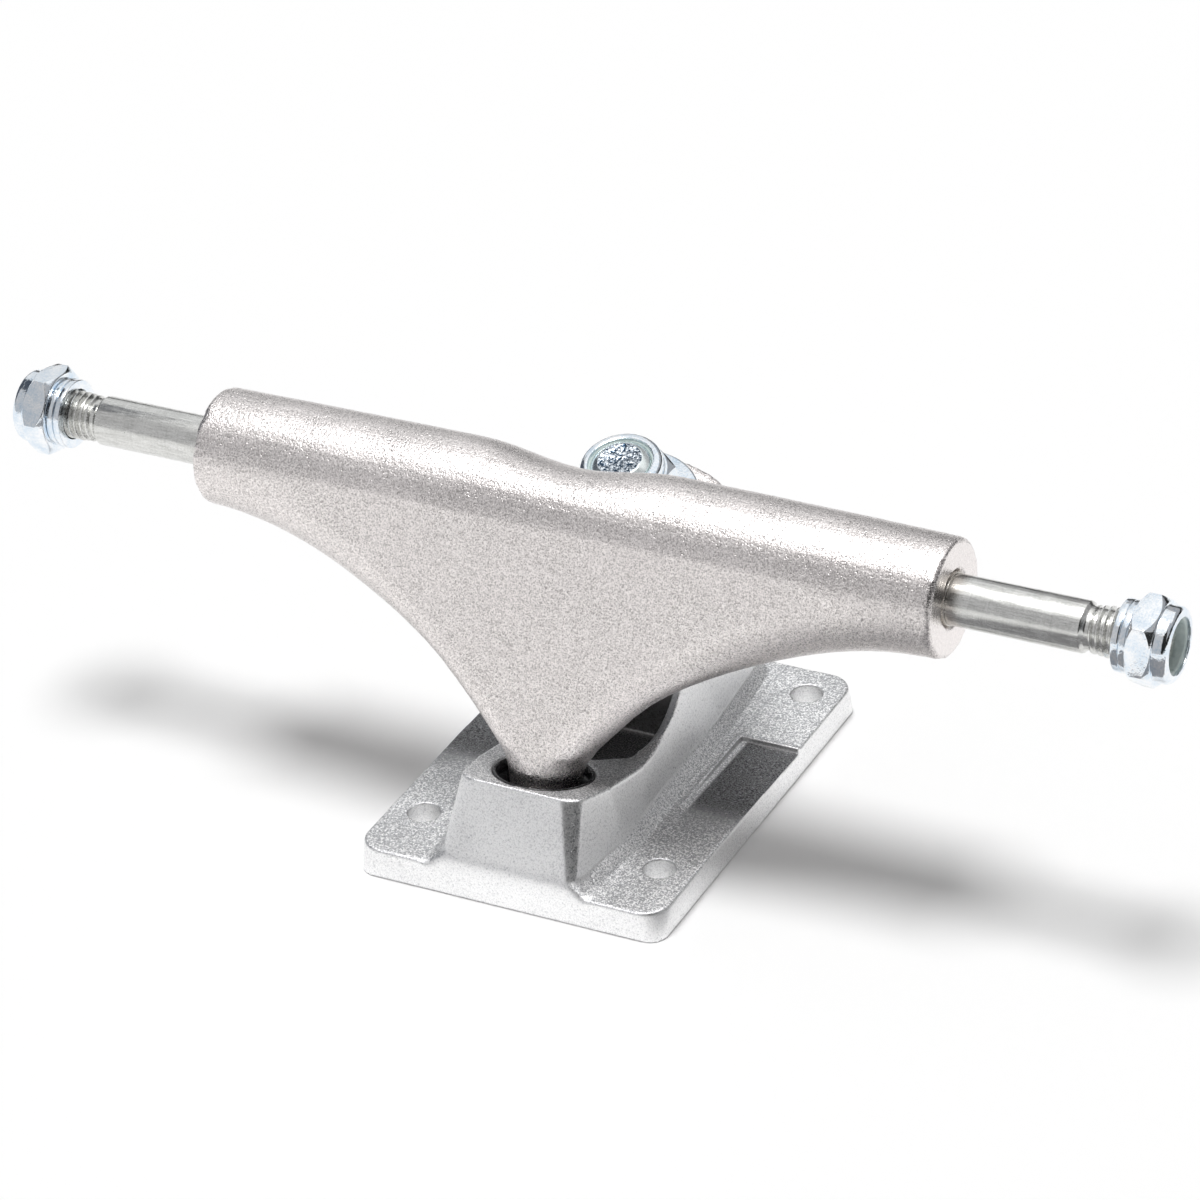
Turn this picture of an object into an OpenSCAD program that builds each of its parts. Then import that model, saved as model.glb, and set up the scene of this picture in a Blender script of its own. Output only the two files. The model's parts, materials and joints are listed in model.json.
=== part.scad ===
// Skateboard truck: a cast hanger and its axle steer on a cast baseplate, held by a kingpin and two bushings.
// X runs along the axle, Y from the pivot towards the kingpin, and Z up from the face that meets the deck.
// The origin is the centre of the four deck bolts, on the deck face. Every size is in millimetres.

/* [Baseplate] */
// Distance between the deck bolts across the board
bolt_spacing_x = 41.28; // [39:0.01:44]
// Distance between the deck bolts along the board
bolt_spacing_y = 53.98; // [52:0.01:60]
// Diameter of each deck bolt hole
bolt_hole_d = 5.2; // [5:0.1:6]
// Thickness of the plate
plate_t = 5.13; // [4:0.01:7]
// Plate beyond the bolt holes at each side
plate_side_margin = 5.9; // [5:0.1:9]
// Plate beyond the bolt holes at the pivot end
plate_pivot_margin = 12.3; // [11:0.1:14]
// Plate beyond the bolt holes at the kingpin end
plate_kingpin_margin = 7; // [6:0.1:12]
// Radius of the plate's four corners at the upper face
plate_corner_r = 4.5; // [3:0.5:8]
// Radius of those corners at the deck face
plate_foot_corner_r = 3; // [2:0.5:8]
// Rounding of the plate's upper edge
plate_edge_r = 0.5; // [0.3:0.1:1.5]
// Depth of the shallow panel cast into each side of the plate
side_panel_depth = 0.7; // [0.3:0.1:1.5]
// Length of that panel along the plate
side_panel_l = 22; // [12:1:26]
// Height of the thin rib along that panel's inner and rear walls
panel_rib_h = 0.3; // [0.2:0.1:0.5]

/* [Tower] */
// Width of the tower's foot at the pivot end
tower_front_w = 23.8; // [20:0.1:26]
// Width of the tower's foot beside the pivot cup, where it is widest
tower_wide_w = 27.2; // [26:0.1:30]
// Width of the tower's foot in front of the kingpin
tower_kingpin_w = 24.6; // [23:0.1:27]
// Width of the tower's foot behind the kingpin
tower_rear_w = 22; // [18:0.1:25]
// Angle at which the side walls lean in beside the cup and the kingpin, in degrees
tower_draft = 10; // [7:0.5:14]
// Angle at which the front and rear corners lean in, in degrees
tower_corner_draft = 13; // [8:0.5:15]
// Angle at which the front face leans back, in degrees
tower_front_lean = 24; // [15:0.5:28]
// Angle at which the rear face leans in, in degrees
tower_rear_lean = 7; // [2:0.5:12]
// Rounding of the tower's front corners
tower_corner_r = 1.6; // [0.8:0.1:4]
// Width of the sloped fillet round the tower's foot
tower_fillet = 1.8; // [1:0.1:3]
// Radius of the dip in the tower's upper outline
saddle_r = 18; // [12:1:24]
// Width of the open pocket between the two rails
pocket_w = 17.8; // [14:0.1:19]
// Floor of that pocket above the deck face
pocket_floor = 5.5; // [4:0.1:8]
// Radius of the bowl that lets the hanger's web swing
bowl_r = 15; // [13:0.5:16]

/* [Pivot] */
// Distance from the bolt centre to the middle of the pivot ball
pivot_back = 25.8; // [24.5:0.1:27]
// Height of the middle of the pivot ball
pivot_height = 11; // [10.5:0.1:12]
// Diameter of the pivot ball
pivot_ball_d = 10; // [9:0.1:10.4]
// Diameter of the pivot stem where it enters the cup
pivot_stem_d = 11.6; // [11:0.1:11.8]
// Clearance round the ball in its cup
pivot_clearance = 0.06; // [0.02:0.01:0.1]
// Outer diameter of the pivot cup
cup_d = 16; // [15.4:0.1:17]
// Thickness of the cup below the ball
cup_floor_t = 1.6; // [1:0.1:2]
// Width of the cup's lip at the mouth
cup_lip_w = 0.5; // [0.4:0.1:0.6]
// Angle at which the cup leans towards the kingpin, in degrees
cup_tilt = 14; // [11:0.5:16]
// Distance from the middle of the ball to the cup's mouth
cup_mouth_h = 5.5; // [5:0.1:6]

/* [Kingpin] */
// Diameter of the kingpin
kingpin_d = 9.53; // [9.2:0.01:9.8]
// Angle at which the kingpin leans towards the pivot, in degrees
kingpin_lean = 17; // [14:0.5:20]
// Distance from the bolt centre to the middle of the kingpin's seat
seat_y = 16.9; // [15.5:0.1:18]
// Height of the middle of the kingpin's seat
seat_z = 20.8; // [20:0.1:23]
// Depth of the recess that holds the bottom washer
seat_recess = 1.4; // [0.6:0.1:1.6]
// Width of the rim round that recess
seat_rim_w = 0.8; // [0.6:0.1:1.4]
// Metal between the seat and the kingpin's head
seat_web_t = 10.5; // [9:0.1:11]
// Width across the flats of the kingpin's head
kingpin_head_af = 14.29; // [12.7:0.01:14.6]
// Height of the kingpin's head
kingpin_head_h = 5.6; // [4.5:0.1:6]
// Kingpin showing above its nut
kingpin_proud = 0.5; // [0.2:0.1:2]

/* [Bushings and cup washers] */
// Diameter of both bushings where they sit in the hanger
bushing_d = 23.6; // [22.5:0.1:24.4]
// Height of the lower, barrel bushing
bottom_bushing_h = 13.2; // [12.5:0.1:14]
// Height of the upper, cone bushing
top_bushing_h = 8.4; // [8:0.1:9]
// Diameter of the cone bushing's upper end
top_bushing_top_d = 19.2; // [18:0.1:20]
// Diameter of the lower cup washer
bottom_washer_d = 25.6; // [25:0.1:26]
// Diameter of the upper cup washer
top_washer_d = 22.1; // [21.4:0.1:23]
// Thickness of the cup washers
cup_washer_t = 1.3; // [1:0.1:1.5]
// Height of the cup washers' turned lips, beyond their thickness
cup_washer_lip = 1.2; // [0.6:0.1:1.6]

/* [Hanger] */
// Width of the hanger between its end faces
hanger_w = 125.8; // [122:0.1:140]
// Diameter of the hanger's barrel at its ends
barrel_d = 18.6; // [17.6:0.1:19.2]
// Extra radius of the barrel at its middle
barrel_swell = 0.35; // [0:0.05:0.6]
// Rounding of the barrel's end edges
barrel_edge_r = 0.6; // [0.4:0.1:2]
// Depth of the scoop in the barrel in front of the kingpin's nut
nut_scoop_depth = 1.85; // [0:0.05:2.2]
// Distance from the middle at which that scoop runs out
nut_scoop_reach = 17; // [12:1:24]
// Distance of the axle from the bolt centre, towards the pivot
axle_back = 10.6; // [10:0.1:11.2]
// Height of the axle above the deck face
axle_height = 54.3; // [53.5:0.1:56]
// Drop of the fan's edge from the axle, at the middle of the hanger
fan_drop = 36.8; // [35.5:0.1:37.5]
// Distance from the middle at which the fan's edge runs out into the barrel
fan_reach = 64; // [60:0.5:66]
// Thickness of the fan's rolled lower edge
fan_edge_t = 11.4; // [10.4:0.1:12]
// Diameter of the ring round the kingpin
ring_d = 31.8; // [31:0.1:32.6]
// Thickness of the ring between its two bushing seats
ring_web_t = 3.2; // [2.8:0.1:4]
// Depth of each bushing seat in the ring
ring_seat_depth = 2.3; // [1.6:0.1:2.6]
// Diameter of the kingpin's hole through the ring
ring_hole_d = 16; // [15.4:0.1:17]
// Steering travel to each side, in degrees
steer_limit = 15; // [8:1:15]

/* [Axle] */
// Diameter of the axle where the bearings ride
axle_d = 7.94; // [7.8:0.01:8]
// Overall length of the axle
axle_l = 193.6; // [192:0.1:196]
// Distance by which the axle and the hanger's end faces stand to the right of the middle
axle_shift = 1; // [0:0.1:1.5]
// Length of the threaded part at each end
axle_thread_l = 9.6; // [9:0.1:12]
// Length of the neck between the journal and the thread
axle_neck_l = 2.7; // [1:0.1:3]
// Extra diameter of the knurled grip inside the hanger
axle_grip_extra = 0.36; // [0.2:0.01:0.5]
// Depth of the chamfer where the axle leaves the hanger
hanger_end_sink = 0.8; // [0.5:0.1:2]

/* [Nuts and speed washers] */
// Width across the flats of the axle nuts
axle_nut_af = 12.7; // [12.5:0.01:13]
// Height of the axle nuts
axle_nut_h = 6.4; // [6:0.1:9]
// Width across the flats of the kingpin's nut
kingpin_nut_af = 14.29; // [14:0.01:14.6]
// Height of the kingpin's nut
kingpin_nut_h = 8.5; // [8:0.1:9]
// Outer diameter of the speed washers
speed_washer_d = 11.1; // [10.8:0.1:13]
// Thickness of each speed washer
speed_washer_t = 1.2; // [0.8:0.1:1.3]
// Distance by which each axle nut stands past the axle's tip
nut_overhang = 1.8; // [0.5:0.1:2.5]

/* [Hidden] */
$fn = 64;
// Facets round a corner that is blended by a hull
blend_fn = 32;
// Gap left between two pieces that touch, so that they stay two pieces
touch = 0.02;
// Radial clearance of a nut on its thread and of a washer on its journal
thread_clearance = 0.06;
washer_clearance = 0.09;
// Radial clearance of the kingpin in its bore, the cup washers and the bushings
kingpin_clearance = 0.15;
// Radial room round a bushing in its seat
seat_room = 0.2;
// Room kept between the kingpin's nut and the hanger over the whole steering travel
nut_room = 1.1;
// Reach of a cutting solid past the metal that it cuts
past = 40;

// Plate, measured from the bolt pattern
plate_half_x = bolt_spacing_x / 2 + plate_side_margin;
plate_front_y = -bolt_spacing_y / 2 - plate_pivot_margin;
plate_back_y = bolt_spacing_y / 2 + plate_kingpin_margin;

// Pivot ball, and the cup's mouth above it
pivot_y = -pivot_back;
pivot_z = pivot_height;
mouth_y = pivot_y + cup_mouth_h * sin(cup_tilt);
mouth_z = pivot_z + cup_mouth_h * cos(cup_tilt);
cup_depth = cup_mouth_h + pivot_ball_d / 2 + pivot_clearance + cup_floor_t;

// Heights up the kingpin, measured from its seat
bottom_bushing_z = cup_washer_t;
ring_web_z = bottom_bushing_z + bottom_bushing_h;
top_bushing_z = ring_web_z + ring_web_t;
top_washer_z = top_bushing_z + top_bushing_h;
kingpin_nut_z = top_washer_z + cup_washer_t;
kingpin_nut_top = kingpin_nut_z + kingpin_nut_h;
ring_bottom_z = ring_web_z - ring_seat_depth;
ring_top_z = top_bushing_z + ring_seat_depth;
kingpin_nut_r = kingpin_nut_af / 2 / cos(30);
seat_r = bottom_washer_d / 2 + seat_room;

// Steering axis, from the pivot ball to the middle of the ring
ring_mid_z = ring_web_z + ring_web_t / 2;
steer_y = seat_y - ring_mid_z * sin(kingpin_lean) - pivot_y;
steer_z = seat_z + ring_mid_z * cos(kingpin_lean) - pivot_z;
steer_slope = atan2(steer_z, steer_y);

// Web of the hanger, from the axle down to the pivot ball
axle_y = -axle_back;
axle_z = axle_height;
barrel_r = barrel_d / 2;
web_run = norm([pivot_y - axle_y, pivot_z - axle_z]);
web_lean = atan2(axle_y - pivot_y, axle_z - pivot_z);
fan_edge_r = fan_edge_t / 2;
stem_r = pivot_stem_d / 2;
stem_mouth_t = web_run - cup_mouth_h;
// Distance of the web's front face from the line that joins the axle and the ball
function web_front(t) = barrel_r + (stem_r - barrel_r) * t / stem_mouth_t;

// Axle, from the middle outwards
hanger_half = hanger_w / 2;
axle_r = axle_d / 2;
axle_half = axle_l / 2;
journal_in = hanger_half + 0.1;
nut_in = axle_half + nut_overhang - axle_nut_h;
washers_in = nut_in - 2 * speed_washer_t - touch;
thread_in = axle_half - axle_thread_l;
thread_r = axle_r - 0.09;
neck_r = axle_r - 0.25;
axle_tip_chamfer = 0.9;
// Angle to which each axle nut was turned, in degrees
right_nut_turn = -12;
left_nut_turn = -25;

// Points of an arc about a centre, from one angle to another
function arc(centre, r, from, to, steps = 8) =
    [for (i = [0:steps]) centre + r * [cos(from + (to - from) * i / steps), sin(from + (to - from) * i / steps)]];

// Smooth step from 0 to 1
function ease(u) = let(c = min(1, max(0, u))) c * c * (3 - 2 * c);

// Stands its children on the kingpin's seat, up the kingpin
module on_kingpin(z = 0)
    translate([0, seat_y, seat_z]) rotate([kingpin_lean, 0, 0]) translate([0, 0, z]) children();

// Points its children out of the cup's mouth, from the middle of the ball
module on_cup(z = 0)
    translate([0, pivot_y, pivot_z]) rotate([-cup_tilt, 0, 0]) translate([0, 0, z]) children();

// Points its children up the web, from the middle of the ball towards the axle
module on_web(z = 0)
    translate([0, pivot_y, pivot_z]) rotate([-web_lean, 0, 0]) translate([0, 0, z]) children();

// Points its children outwards along the axle, to the right with side = 1 and to the left with side = -1
module on_axle(side, x = 0)
    translate([axle_shift, axle_y, axle_z]) rotate([0, 90 * side, 0]) translate([0, 0, x]) children();

// Turns its children about the steering axis
module steered(angle)
    translate([0, pivot_y, pivot_z])
        rotate([steer_slope, 0, 0]) rotate([0, angle, 0]) rotate([-steer_slope, 0, 0])
            translate([0, -pivot_y, -pivot_z]) children();

// Flat ring
module washer(outer_r, inner_r, t)
    difference() {
        cylinder(r = outer_r, h = t);
        translate([0, 0, -t]) cylinder(r = inner_r, h = 3 * t);
    }

// Block with rounded upright corners, centred on X and Y
module rounded_block(w, l, h, r)
    linear_extrude(h) union() {
        square([w - 2 * r, l], center = true);
        square([w, l - 2 * r], center = true);
        for (x = [-1, 1], y = [-1, 1])
            translate([x * (w / 2 - r), y * (l / 2 - r)]) circle(r);
    }

// Baseplate

// Upper part of a corner, rounded at its upper edge, and the sharper foot below it
module plate_corner()
    rotate_extrude($fn = blend_fn)
        polygon(concat(
            [[0, plate_t / 2], [plate_corner_r - 0.1, plate_t / 2]],
            arc([plate_corner_r - plate_edge_r, plate_t - plate_edge_r], plate_edge_r, 0, 90, 4),
            [[0, plate_t]]));

// Stands its children at the plate's four corners, in from the edges by r
module at_plate_corners(r)
    for (x = [-1, 1], y = [plate_front_y + r, plate_back_y - r])
        translate([x * (plate_half_x - r), y, 0]) children();

module plate_blank()
    hull() {
        at_plate_corners(plate_corner_r) plate_corner();
        at_plate_corners(plate_foot_corner_r) cylinder(r = plate_foot_corner_r, h = 0.4, $fn = blend_fn);
    }

// Upright corners of the tower: half width, Y, corner radius, lean along Y and lean across
tower_rear_corner_r = 6;
tower_side_corner_r = 3;
tower_corners = [
    [tower_front_w / 2, plate_front_y, tower_corner_r, tower_front_lean, tower_corner_draft],
    [tower_wide_w / 2, mouth_y, tower_side_corner_r, 0, tower_draft],
    [tower_kingpin_w / 2, seat_y - 5, tower_side_corner_r, 0, tower_draft],
    [tower_rear_w / 2, plate_back_y - 1.2, tower_rear_corner_r, -tower_rear_lean, tower_corner_draft]
];
// Y of a corner's centre, held inside the tower's ends
function corner_y(c) = c[1] + c[2] * sign(c[3]);
tower_top_z = seat_z + (seat_r + seat_rim_w) * sin(kingpin_lean) + seat_recess * cos(kingpin_lean) + 3;

// One level of the tower, drawn in by the draft above the plate and grown by a margin
module tower_level(z, grow = 0)
    for (side = [-1, 1], c = tower_corners)
        translate([
            side * (c[0] - c[2] - (z - plate_t) * tan(c[4])),
            corner_y(c) + (z - plate_t) * tan(c[3]),
            z])
            cylinder(r = c[2] + grow, h = 0.1, $fn = blend_fn);

module tower_blank() {
    hull() {
        tower_level(plate_t - 1);
        tower_level(tower_top_z);
    }
    intersection() {
        hull() {
            tower_level(plate_t - 0.5, tower_fillet + 0.4);
            tower_level(plate_t + tower_fillet, 0.05);
        }
        translate([-past, plate_front_y + 0.3, 0]) cube([2 * past, plate_back_y - plate_front_y - 0.6, past]);
    }
}

// Side view of the tower: the sloped top round the cup, a dip, and a ramp up to the kingpin's seat
rim_front = [
    seat_y - (seat_r + seat_rim_w) * cos(kingpin_lean) - seat_recess * sin(kingpin_lean),
    seat_z - (seat_r + seat_rim_w) * sin(kingpin_lean) + seat_recess * cos(kingpin_lean)
];
rim_rear = rim_front + 2 * (seat_r + seat_rim_w) * [cos(kingpin_lean), sin(kingpin_lean)];
ramp_angle = 22.5;
// Height of the sloped top at a place along Y
function top_plane(y) = mouth_z - (y - mouth_y) * tan(cup_tilt);
// Corner at which the sloped top would meet the ramp, without the dip's radius
dip_y = (mouth_z + mouth_y * tan(cup_tilt) - rim_front[1] + rim_front[0] * tan(ramp_angle))
    / (tan(ramp_angle) + tan(cup_tilt));
dip_z = top_plane(dip_y);
dip_turn = (cup_tilt + ramp_angle) / 2;
dip_centre = [dip_y, dip_z] + saddle_r / cos(dip_turn) * [sin(cup_tilt - dip_turn), cos(cup_tilt - dip_turn)];

module tower_profile()
    polygon(concat(
        [[plate_front_y, 0], [plate_front_y, top_plane(plate_front_y)]],
        arc(dip_centre, saddle_r, -90 - cup_tilt, -90 + ramp_angle, 10),
        [rim_front, rim_rear, [rim_rear[0] + 8, rim_rear[1]], [rim_rear[0] + 8, 0]]));

module tower()
    intersection() {
        tower_blank();
        rotate([90, 0, 90]) translate([0, 0, -past]) linear_extrude(2 * past) tower_profile();
    }

// Round pad under the bottom washer, on a cone that runs down into the tower
seat_pad_t = 2.6;
module seat_pad() {
    on_kingpin(-seat_pad_t) cylinder(r = seat_r + seat_rim_w, h = seat_pad_t + seat_recess);
    on_kingpin(-seat_pad_t - 5) cylinder(r1 = seat_r - 4, r2 = seat_r + seat_rim_w, h = 5);
}

// Open pocket between the rails
pocket_front_y = mouth_y + cup_d / 2 / cos(cup_tilt) + 3;
pocket_rear_y = seat_y - seat_r + 2;
module rail_pocket() {
    translate([0, (pocket_front_y + pocket_rear_y) / 2, pocket_floor])
        rounded_block(pocket_w, pocket_rear_y - pocket_front_y, past, 3);
    translate([0, dip_y + 3.8, dip_z + 12.2]) sphere(r = bowl_r);
}

// Bore for the kingpin, the hexagon that keeps its head from turning, and the way in from below
head_hex_r = (kingpin_head_af / 2 + 0.2) / cos(30);
module kingpin_cuts() {
    on_kingpin(-past) cylinder(r = kingpin_d / 2 + kingpin_clearance, h = 2 * past);
    on_kingpin() cylinder(r = seat_r, h = past);
    on_kingpin(-seat_web_t - past) rotate(30) cylinder(r = head_hex_r, h = past, $fn = 6);
    on_kingpin(-seat_web_t - kingpin_head_h - past) cylinder(r = head_hex_r + 0.3, h = past);
}

// Shallow panel in each side of the plate, open at the plate's edge and running out towards the pivot
panel_ramp = atan2(side_panel_depth, side_panel_l);
panel_in_x = bolt_spacing_x / 2 - 4.2;
panel_back_y = bolt_spacing_y / 2 - 15.8;
module side_panels()
    for (side = [-1, 1])
        translate([side * (panel_in_x + past), panel_back_y, plate_t])
            rotate([-panel_ramp, 0, 0])
                translate([-past, -side_panel_l, -side_panel_depth])
                    cube([2 * past, side_panel_l, 5]);

// Thin rib that frames the panel on its inner and rear sides
panel_rib_w = 0.5;
module panel_ribs()
    for (side = [-1, 1])
        translate([side * panel_in_x, panel_back_y, plate_t]) {
            translate([-side * panel_rib_w / 2, -side_panel_l / 2, 0])
                cube([panel_rib_w, side_panel_l, 2 * panel_rib_h], center = true);
            translate([side * (plate_half_x - panel_in_x - plate_edge_r) / 2, panel_rib_w / 2, 0])
                cube([plate_half_x - panel_in_x - plate_edge_r + 2 * panel_rib_w, panel_rib_w, 2 * panel_rib_h],
                    center = true);
        }

module baseplate()
    color("silver") difference() {
        union() {
            plate_blank();
            panel_ribs();
            tower();
            seat_pad();
        }
        rail_pocket();
        kingpin_cuts();
        on_cup(-cup_depth + cup_mouth_h) cylinder(r = cup_d / 2 + touch, h = past);
        side_panels();
        for (x = [-1, 1], y = [-1, 1])
            translate([x * bolt_spacing_x / 2, y * bolt_spacing_y / 2, -1]) cylinder(d = bolt_hole_d, h = past);
    }

// Pivot cup: the ball's seat, flared above it so that the stem can swing
cup_lip_r = cup_d / 2 - cup_lip_w;
cup_seat_r = pivot_ball_d / 2 + pivot_clearance;
module pivot_cup()
    color("#1c1c1e") on_cup()
        rotate_extrude()
            polygon(concat(
                [[0, cup_mouth_h - cup_depth + touch], [cup_d / 2 - 1, cup_mouth_h - cup_depth + touch],
                 [cup_d / 2, cup_mouth_h - cup_depth + 1], [cup_d / 2, cup_mouth_h - 0.3],
                 [cup_d / 2 - 0.2, cup_mouth_h], [cup_lip_r + 0.1, cup_mouth_h], [cup_lip_r, cup_mouth_h - 0.1]],
                [[cup_seat_r, 0]],
                arc([0, 0], cup_seat_r, 0, -90, 16)));

// Kingpin, its washers and bushings

kingpin_chamfer = 0.8;
kingpin_l = kingpin_head_h + seat_web_t + kingpin_nut_top + kingpin_proud;
module kingpin()
    color("#c9ced4") {
        on_kingpin(-seat_web_t - kingpin_head_h)
            rotate(30) cylinder(r = kingpin_head_af / 2 / cos(30), h = kingpin_head_h, $fn = 6);
        on_kingpin(-seat_web_t - kingpin_head_h)
            rotate_extrude()
                polygon([
                    [0, 0.5],
                    [kingpin_d / 2, 0.5],
                    [kingpin_d / 2, kingpin_l - kingpin_chamfer],
                    [kingpin_d / 2 - kingpin_chamfer, kingpin_l],
                    [0, kingpin_l]]);
    }

// Cup washer, its lip turned up round the bushing that sits in it
module cup_washer(outer_r, lip)
    difference() {
        rotate_extrude()
            polygon(concat(
                [[kingpin_d / 2 + kingpin_clearance, 0]],
                arc([outer_r - 0.6, 0.6], 0.6, -90, 0, 4),
                [[outer_r, cup_washer_t + lip], [outer_r - 0.7, cup_washer_t + lip],
                 [outer_r - 1, cup_washer_t], [kingpin_d / 2 + kingpin_clearance, cup_washer_t]]));
    }

module bottom_cup_washer()
    color("#c9ced4") on_kingpin(touch) cup_washer(bottom_washer_d / 2, cup_washer_lip);

module top_cup_washer()
    color("#c9ced4") on_kingpin(kingpin_nut_z - touch) mirror([0, 0, 1]) cup_washer(top_washer_d / 2, cup_washer_lip);

// Barrel bushing, chamfered at both ends
bushing_chamfer = 1.5;
module bottom_bushing()
    color("#222326") on_kingpin(bottom_bushing_z + 2 * touch)
        rotate_extrude()
            polygon([
                [kingpin_d / 2 + kingpin_clearance, 0],
                [bushing_d / 2 - bushing_chamfer, 0],
                [bushing_d / 2, bushing_chamfer],
                [bushing_d / 2, bottom_bushing_h - bushing_chamfer - 4 * touch],
                [bushing_d / 2 - bushing_chamfer, bottom_bushing_h - 4 * touch],
                [kingpin_d / 2 + kingpin_clearance, bottom_bushing_h - 4 * touch]]);

// Cone bushing, its wide end in the hanger's seat
module top_bushing()
    color("#222326") on_kingpin(top_bushing_z + 2 * touch)
        rotate_extrude()
            polygon([
                [kingpin_d / 2 + kingpin_clearance, 0],
                [bushing_d / 2 - 0.8, 0],
                [bushing_d / 2, 0.8],
                [bushing_d / 2, ring_seat_depth],
                [top_bushing_top_d / 2, top_bushing_h - 1.4],
                [top_bushing_top_d / 2 - 0.6, top_bushing_h - 4 * touch],
                [kingpin_d / 2 + kingpin_clearance, top_bushing_h - 4 * touch]]);

// Lock nut: a chamfered hexagon under a domed collar that holds the plastic insert
nut_collar_h = 2.3;
nut_collar_round = 1.1;
insert_t = 1.8;
insert_lip = 0.5;
function collar_r(af) = af / 2 - 0.45;
function insert_r(af) = collar_r(af) - 1;
module lock_nut(af, h, bore_r) {
    corner_r = af / 2 / cos(30);
    hex_h = h - nut_collar_h;
    difference() {
        union() {
            intersection() {
                cylinder(r = corner_r, h = hex_h, $fn = 6);
                rotate_extrude()
                    polygon([[0, 0], [af / 2 - 0.1, 0], [corner_r + 0.1, 0.75], [corner_r + 0.1, hex_h - 0.75],
                        [af / 2 - 0.1, hex_h], [0, hex_h]]);
            }
            translate([0, 0, hex_h - 0.4])
                rotate_extrude()
                    polygon(concat(
                        [[0, 0], [collar_r(af), 0]],
                        arc([collar_r(af) - nut_collar_round, nut_collar_h + 0.4 - nut_collar_round],
                            nut_collar_round, 0, 90, 6),
                        [[0, nut_collar_h + 0.4]]));
        }
        translate([0, 0, -1]) cylinder(r = bore_r, h = h + 2);
        translate([0, 0, h - insert_lip - insert_t]) cylinder(r = insert_r(af), h = insert_t);
        translate([0, 0, h - insert_lip - 0.1]) cylinder(r = insert_r(af) - 0.5, h = 5);
    }
}

// Plastic ring inside a lock nut
module nut_insert(af, h, bore_r)
    translate([0, 0, h - insert_lip - insert_t + touch])
        washer(insert_r(af) - touch, bore_r, insert_t - 2 * touch);

kingpin_nut_bore_r = kingpin_d / 2 + thread_clearance;
module kingpin_nut()
    color("#d3dae2") on_kingpin(kingpin_nut_z + touch)
        rotate(30) lock_nut(kingpin_nut_af, kingpin_nut_h - touch, kingpin_nut_bore_r);

module kingpin_nut_insert()
    color("#e4e6e4") on_kingpin(kingpin_nut_z + touch)
        nut_insert(kingpin_nut_af, kingpin_nut_h - touch, kingpin_nut_bore_r);

// Hanger

// Fan's edge: its distance down the web, its slope, its radius and its place across the web
function fan_left(x) = max(0, 1 - abs(x) / fan_reach);
fan_power = 2.2;
function fan_edge(x) = fan_drop * pow(fan_left(x), fan_power);
function fan_stretch(x) = sqrt(1 + pow(fan_power * fan_drop / fan_reach * pow(fan_left(x), fan_power - 1), 2));
function fan_radius(x) = barrel_r + (fan_edge_r - barrel_r) * ease(fan_edge(x) / 20);
function fan_offset(x) = web_front(fan_edge(x)) - fan_radius(x);

// Barrel's radius at x, and the share of the nut's scoop that is taken off it, looking along an angle
scoop_angle = 194;
scoop_spread = 80;
function bell(u) = abs(u) < 1 ? (1 + cos(180 * u)) / 2 : 0;
function body_r(x, angle) =
    barrel_r + barrel_swell * (1 - pow(abs(x) / hanger_half, 3))
    - nut_scoop_depth * bell(x / nut_scoop_reach) * bell((angle - scoop_angle) / scoop_spread);

// One point of the section at x: the outermost point of the barrel's outline and the edge's ellipse, looking along an angle
function section_point(x, angle) =
    let(
        r = body_r(x, angle),
        a = fan_radius(x) * fan_stretch(x),
        b = fan_radius(x),
        reach = sqrt(pow(a * cos(angle), 2) + pow(b * sin(angle), 2)),
        edge_reach = fan_edge(x) * cos(angle) + fan_offset(x) * sin(angle) + reach
    )
    edge_reach > r
        ? [fan_edge(x) + a * a * cos(angle) / reach, fan_offset(x) + b * b * sin(angle) / reach]
        : r * [cos(angle), sin(angle)];

// From distances down and in front of the web to the truck's own frame
function web_to_frame(x, p) = [
    x,
    axle_y - p[0] * sin(web_lean) - p[1] * cos(web_lean),
    axle_z - p[0] * cos(web_lean) + p[1] * sin(web_lean)
];

body_half = hanger_half - axle_shift - barrel_edge_r - 0.3;
stations = 42;
around = 40;
module hanger_body() {
    points = [for (i = [0:stations], j = [0:around - 1])
        let(x = body_half * (2 * i / stations - 1)) web_to_frame(x, section_point(x, 360 * j / around))];
    sides = [for (i = [0:stations - 1], j = [0:around - 1])
        let(k = (j + 1) % around, a = i * around, b = a + around)
        each [[a + j, a + k, b + k], [a + j, b + k, b + j]]];
    ends = [
        [for (j = [around - 1:-1:0]) j],
        [for (j = [0:around - 1]) stations * around + j]
    ];
    polyhedron(points, concat(sides, ends));
}

// Turned end of the barrel, with its rounded edge
barrel_end_l = 2 * axle_shift + barrel_edge_r + 4;
module barrel_end(side)
    on_axle(side, hanger_half - barrel_end_l)
        rotate_extrude()
            polygon(concat(
                [[0, 0], [barrel_r, 0]],
                arc([barrel_r - barrel_edge_r, barrel_end_l - barrel_edge_r], barrel_edge_r, 0, 90, 6),
                [[0, barrel_end_l]]));

// Stem and ball that stand in the pivot cup
stem_top = web_run * 0.35;
module pivot_stem()
    on_web()
        rotate_extrude()
            polygon(concat(
                arc([0, 0], pivot_ball_d / 2, -90, 10, 14),
                [[stem_r, cup_mouth_h], [web_front(web_run - stem_top) - 0.15, stem_top], [0, stem_top]]));

// Yoke that carries the ring on the back of the web
module yoke()
    hull() {
        on_kingpin(ring_bottom_z) cylinder(d = ring_d - 0.1, h = ring_top_z - ring_bottom_z, $fn = blend_fn);
        for (side = [-1, 1]) {
            translate(web_to_frame(side * 21, [9.5, -1])) sphere(r = 5, $fn = 16);
            translate(web_to_frame(side * 7, [27, 0])) sphere(r = 4.5, $fn = 16);
        }
    }

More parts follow.
